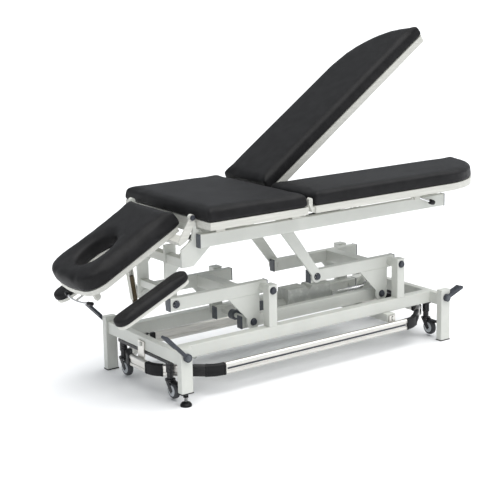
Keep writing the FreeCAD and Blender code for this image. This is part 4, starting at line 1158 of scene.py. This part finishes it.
@dataclass
class FootRail:
    """The silver ring that is pressed with a foot."""

    workshop: Workshop
    groove_y: float = 262.2
    middle_z: float = 99.0

    def make(self) -> None:
        """Dress the rail and its elbows, and lay a dark strip in the groove as painted shade."""
        shop = self.workshop
        shop.dress(Finish.ALUMINIUM, "rail_side_near", "rail_side_far")
        shop.dress(Finish.RAIL_END, "rail_turn_head", "rail_turn_foot")
        shop.dress(Finish.BLACK, "rail_elbows_head", "rail_elbows_foot")
        at = shop.datum.at
        # The dark strips are painted shade: they darken the groove's recess where shade falls, and are no separate
        # part of the rail.
        makers = []
        for side in (-1, 1):
            y0, y1 = sorted((side * (self.groove_y - 1.2), side * (self.groove_y + 0.4)))
            makers.append(block(at(226.0, y0, self.middle_z - 3.5), at(1134.0, y1, self.middle_z + 3.5), 0.0004))
        shop.piece("rail_groove_painted_shade", joined("strips", makers), "foot_rail", Finish.PEDAL, "dark_plastic")


@dataclass
class Lift:
    """The crank arms and the tie bars."""

    workshop: Workshop

    def make(self) -> None:
        """Dress the linkage."""
        self.workshop.dress(Finish.PAINT, "lift_arm_1_sides", "lift_arm_1_cross", "lift_arm_2_sides",
                            "lift_arm_2_cross", "tie_bars")


@dataclass
class Drive:
    """The electric cylinder, with a ribbed motor and screws in its housing."""

    workshop: Workshop
    axis_z: float = 213.0
    motor_start: float = 494.0
    motor_radius: float = 32.0
    rib_gap: float = 10.0
    ribs: int = 9
    housing: tuple[float, float] = (690.0, 912.0)
    housing_half: float = 36.0

    def make(self) -> None:
        """Dress the drive and add its ribs and screws."""
        shop = self.workshop
        shop.dress(Finish.CAP, "drive_motor")
        shop.dress(Finish.GREY, "drive_housing")
        shop.dress(Finish.CHROME, "drive_rod")
        at = shop.datum.at
        rings = RingPattern(shop, self.motor_radius * MM, 1.2 * MM, self.ribs, 40)
        rings.make("motor_ribs", "drive", Finish.CAP, "dark_plastic", at(self.motor_start, 0.0, self.axis_z),
                   Vector((self.rib_gap * MM, 0.0, 0.0)))
        x0, x1 = self.housing
        spots = [(x, z) for x in (x0 + 12.0, x1 - 12.0) for z in (self.axis_z - 14.0, self.axis_z + 54.0)]
        places = [at(x, side * self.housing_half, z) for x, z in spots for side in (-1, 1)]
        ways = [Vector((0.0, side, 0.0)) for _ in spots for side in (-1, 1)]
        FastenerPattern(shop, 0.0032, 0.0016, sides=14).make("housing_screws", "drive", Finish.ZINC, "zinc_steel",
                                                             places, ways)


@dataclass
class UpperFrame:
    """The upper beams, uprights and struts, with covers on the head section's hinge."""

    workshop: Workshop

    def make(self) -> None:
        """Dress the upper frame and cover the hinge's bolts."""
        shop = self.workshop
        shop.dress(Finish.PAINT, "upper_beam_near", "upper_beam_far", "upper_cross_tubes", "uprights",
                   "upright_ties", "foot_strut_near", "foot_strut_far")
        at = shop.datum.at
        sides = (-1, 1)
        hinge = FastenerPattern(shop, 0.0085, 0.004, sides=20)
        places = [at(112.0, side * 225.0, 690.0) for side in sides]
        hinge.make("head_hinge_covers", "upper_frame", Finish.PEDAL, "dark_plastic", places,
                   [Vector((0.0, side, 0.0)) for side in sides])


@dataclass
class Decks:
    """The painted boards under the pads, with screws up into them."""

    workshop: Workshop
    deck_low: float = 651.0

    def make(self) -> None:
        """Dress the boards and add the screws under the middle and near leg boards."""
        shop = self.workshop
        shop.dress(Finish.BOARD, "middle_deck", "head_deck", "leg_deck_near", "leg_deck_far")
        at = shop.datum.at
        screws = FastenerPattern(shop, 0.0042, 0.0018, sides=14)
        rows = {"middle_deck_screws": ("upper_frame", [(x, y) for x in (170.0, 300.0, 430.0, 540.0)
                                                       for y in (-285.0, -120.0, 120.0, 285.0)]),
                "leg_deck_screws": ("leg_near", [(x, y) for x in (660.0, 860.0, 1060.0, 1260.0)
                                                 for y in (-285.0, -25.0)])}
        for name, (body, spots) in rows.items():
            screws.make(name, body, Finish.ZINC, "zinc_steel", [at(x, y, self.deck_low) for x, y in spots],
                        [Vector((0.0, 0.0, -1.0)) for _ in spots])


@dataclass
class GasSprings:
    """The gas springs of the head and leg sections."""

    workshop: Workshop

    def make(self) -> None:
        """Dress the barrels and the rods."""
        self.workshop.dress(Finish.ENAMEL, "head_spring_tube", "leg_strut_tube_near", "leg_strut_tube_far")
        self.workshop.dress(Finish.CHROME, "head_spring_rod", "leg_strut_rod_near", "leg_strut_rod_far")


@dataclass
class ArmRests:
    """The arm rests' boards and bronze stems, with the fine teeth that hold a height."""

    workshop: Workshop
    guide_top: tuple[float, float] = (-116.7, 515.2)
    lean: float = 8.2
    face: float = 153.2
    first_tooth: float = 26.0
    tooth_gap: float = 4.0
    teeth: int = 22

    def make(self) -> None:
        """Dress the arm rests and stand a row of teeth on each stem."""
        shop = self.workshop
        shop.dress(Finish.ARM_REST, "arm_rest_near", "arm_rest_far")
        down = Vector((math.sin(math.radians(self.lean)), 0.0, -math.cos(math.radians(self.lean))))
        for name, side in (("near", -1), ("far", 1)):
            top = shop.datum.at(self.guide_top[0], side * self.face, self.guide_top[1])
            teeth = ToothPattern(shop, (0.0145, 0.0012, 0.0016), self.teeth)
            teeth.make(f"arm_rest_teeth_{name}", f"arm_rest_{name}", Finish.BRONZE, "frame_paint",
                       top + down * (self.first_tooth * MM), down * (self.tooth_gap * MM))


@dataclass
class Handles:
    """Black grips on the head section's release handle and the leg sections' levers."""

    workshop: Workshop
    head_pivot: tuple[float, float, float] = (112.0, 0.0, 690.0)
    head_droop: float = 28.4
    bar: tuple[float, float, float] = (-350.5, 76.0, 609.0)
    bow: float = 14.25
    leg_pivot: tuple[float, float, float] = (606.0, 0.0, 703.0)
    far_leg_raise: float = 35.0
    knob: tuple[float, float, float] = (1262.0, 262.0, 610.0)

    def drooped(self, place: Vector, pivot: Vector, degrees: float) -> Vector:
        """Turn a place down about a hinge along Y.

        Args:
            place: Where it is with its section level.
            pivot: A point on the hinge.
            degrees: How far the section hangs down towards the head, or stands up towards the foot.

        Returns:
            Where it is at rest.
        """
        return pivot + Matrix.Rotation(math.radians(-degrees), 3, "Y") @ (place - pivot)

    def make(self) -> None:
        """Dress the handles and slip the grips over them."""
        shop = self.workshop
        shop.dress(Finish.CHROME, "head_release", "leg_lever_near", "leg_lever_far")
        at = shop.datum.at
        grip = [(0.0045, -0.001), (0.0070, 0.0), (0.0078, 0.002), (0.0074, 0.013), (0.0078, 0.024),
                (0.0070, 0.0268), (0.0040, 0.0272)]
        pivot = at(*self.head_pivot)
        makers = []
        for side in (-1, 1):
            start = self.drooped(at(self.bar[0], side * self.bar[1], self.bar[2]), pivot, self.head_droop)
            way = Vector((math.sin(math.radians(self.bow)), side * math.cos(math.radians(self.bow)), 0.0))
            way = Matrix.Rotation(math.radians(-self.head_droop), 3, "Y") @ way
            makers.append(lathe(start, way, grip, 24))
        shop.piece("release_grips", joined("grips", makers), "head_release", Finish.BLACK, "dark_plastic")
        knob = [(0.0055, -0.001), (0.0095, 0.001), (0.0108, 0.005), (0.0108, 0.019), (0.0090, 0.0255),
                (0.0050, 0.0275)]
        leg = at(*self.leg_pivot)
        for name, side, angle in (("near", -1, 0.0), ("far", 1, self.far_leg_raise)):
            start = self.drooped(at(self.knob[0], side * self.knob[1], self.knob[2]), leg, angle)
            way = Matrix.Rotation(math.radians(-angle), 3, "Y") @ Vector((80.0, 0.0, -30.0)).normalized()
            shop.piece(f"lever_knob_{name}", joined("knob", [lathe(start, way, knob, 28)]), f"leg_lever_{name}",
                       Finish.BLACK, "dark_plastic")


@dataclass
class Studio:
    """White paper, soft lights and the camera of the photograph."""

    workshop: Workshop
    focal_px: float = 1257.318
    frame_px: float = 480.0
    sensor_mm: float = 36.0
    azimuth: float = -35.06947
    elevation: float = 12.7422
    roll: float = -1.16129
    stand: tuple[float, float, float] = (-2333.54, -4006.40, 1621.64)

    def make(self) -> None:
        """Set up the floor, the lights, the world and the camera."""
        self.floor()
        self.world()
        self.sun("sky", (0.12, -0.24, 0.96), 3.7, 75.0, (1.0, 0.99, 0.97))
        self.camera()

    def floor(self) -> None:
        """A wide sheet of white paper."""
        work = bmesh.new()
        bmesh.ops.create_grid(work, x_segments=1, y_segments=1, size=90.0)
        mesh = bpy.data.meshes.new("paper")
        work.to_mesh(mesh)
        work.free()
        paper = bpy.data.objects.new("paper", mesh)
        bpy.context.scene.collection.objects.link(paper)
        paper.location.z = -0.0004
        mesh.materials.append(StudioPaper().make())

    def world(self) -> None:
        """Even white surroundings."""
        world = bpy.data.worlds.new("studio")
        world.use_nodes = True
        back = world.node_tree.nodes["Background"]
        back.inputs["Color"].default_value = (0.90, 0.95, 1.0, 1.0)
        back.inputs["Strength"].default_value = 0.46
        bpy.context.scene.world = world
        bpy.context.scene.view_settings.view_transform = "Standard"

    def sun(self, name: str, source: Point, strength: float, spread: float, colour: Colour) -> None:
        """Add one wide, soft, distant light.

        Args:
            name: The light's name.
            source: The direction that it comes from.
            strength: Its power on a facing surface.
            spread: How wide it looks, in degrees.
            colour: Its tint.
        """
        lamp = bpy.data.lights.new(name, "SUN")
        lamp.energy = strength
        lamp.angle = math.radians(spread)
        lamp.color = colour
        item = bpy.data.objects.new(name, lamp)
        item.rotation_euler = Vector(source).to_track_quat("Z", "Y").to_euler()
        bpy.context.scene.collection.objects.link(item)

    def camera(self) -> None:
        """Stand the camera where the photograph was taken."""
        azimuth = math.radians(self.azimuth)
        elevation = math.radians(self.elevation)
        roll = math.radians(self.roll)
        back = Vector((math.sin(azimuth) * math.cos(elevation), -math.cos(azimuth) * math.cos(elevation),
                       math.sin(elevation)))
        right = Vector((math.cos(azimuth), math.sin(azimuth), 0.0))
        up = back.cross(right)
        across = right * math.cos(roll) + up * math.sin(roll)
        upright = up * math.cos(roll) - right * math.sin(roll)
        lens = bpy.data.cameras.new("view")
        lens.sensor_width = self.sensor_mm
        lens.lens = self.focal_px / self.frame_px * self.sensor_mm
        lens.clip_end = 400.0
        item = bpy.data.objects.new("view", lens)
        place = self.workshop.datum.at(*self.stand)
        item.matrix_world = Matrix((
            (across.x, upright.x, back.x, place.x),
            (across.y, upright.y, back.y, place.y),
            (across.z, upright.z, back.z, place.z),
            (0.0, 0.0, 0.0, 1.0)))
        bpy.context.scene.collection.objects.link(item)
        bpy.context.scene.camera = item


ASSEMBLIES = (Base, ScrewFoot, Pedals, Castors, FootRail, Lift, Drive, UpperFrame, Decks, GasSprings, ArmRests,
              Handles, TubeCaps, PivotCovers, Upholstery)


def main() -> None:
    """Load the frame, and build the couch's finishes and details."""
    logging.basicConfig(level=logging.INFO, format="%(name)s: %(message)s")
    for item in list(bpy.data.objects):
        bpy.data.objects.remove(item)
    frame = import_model()
    workshop = Workshop(Datum.from_frame())
    Studio(workshop).make()
    for assembly in ASSEMBLIES:
        assembly(workshop).make()
        log.info("finished %s", assembly.__name__)


if __name__ == "__main__":
    main()
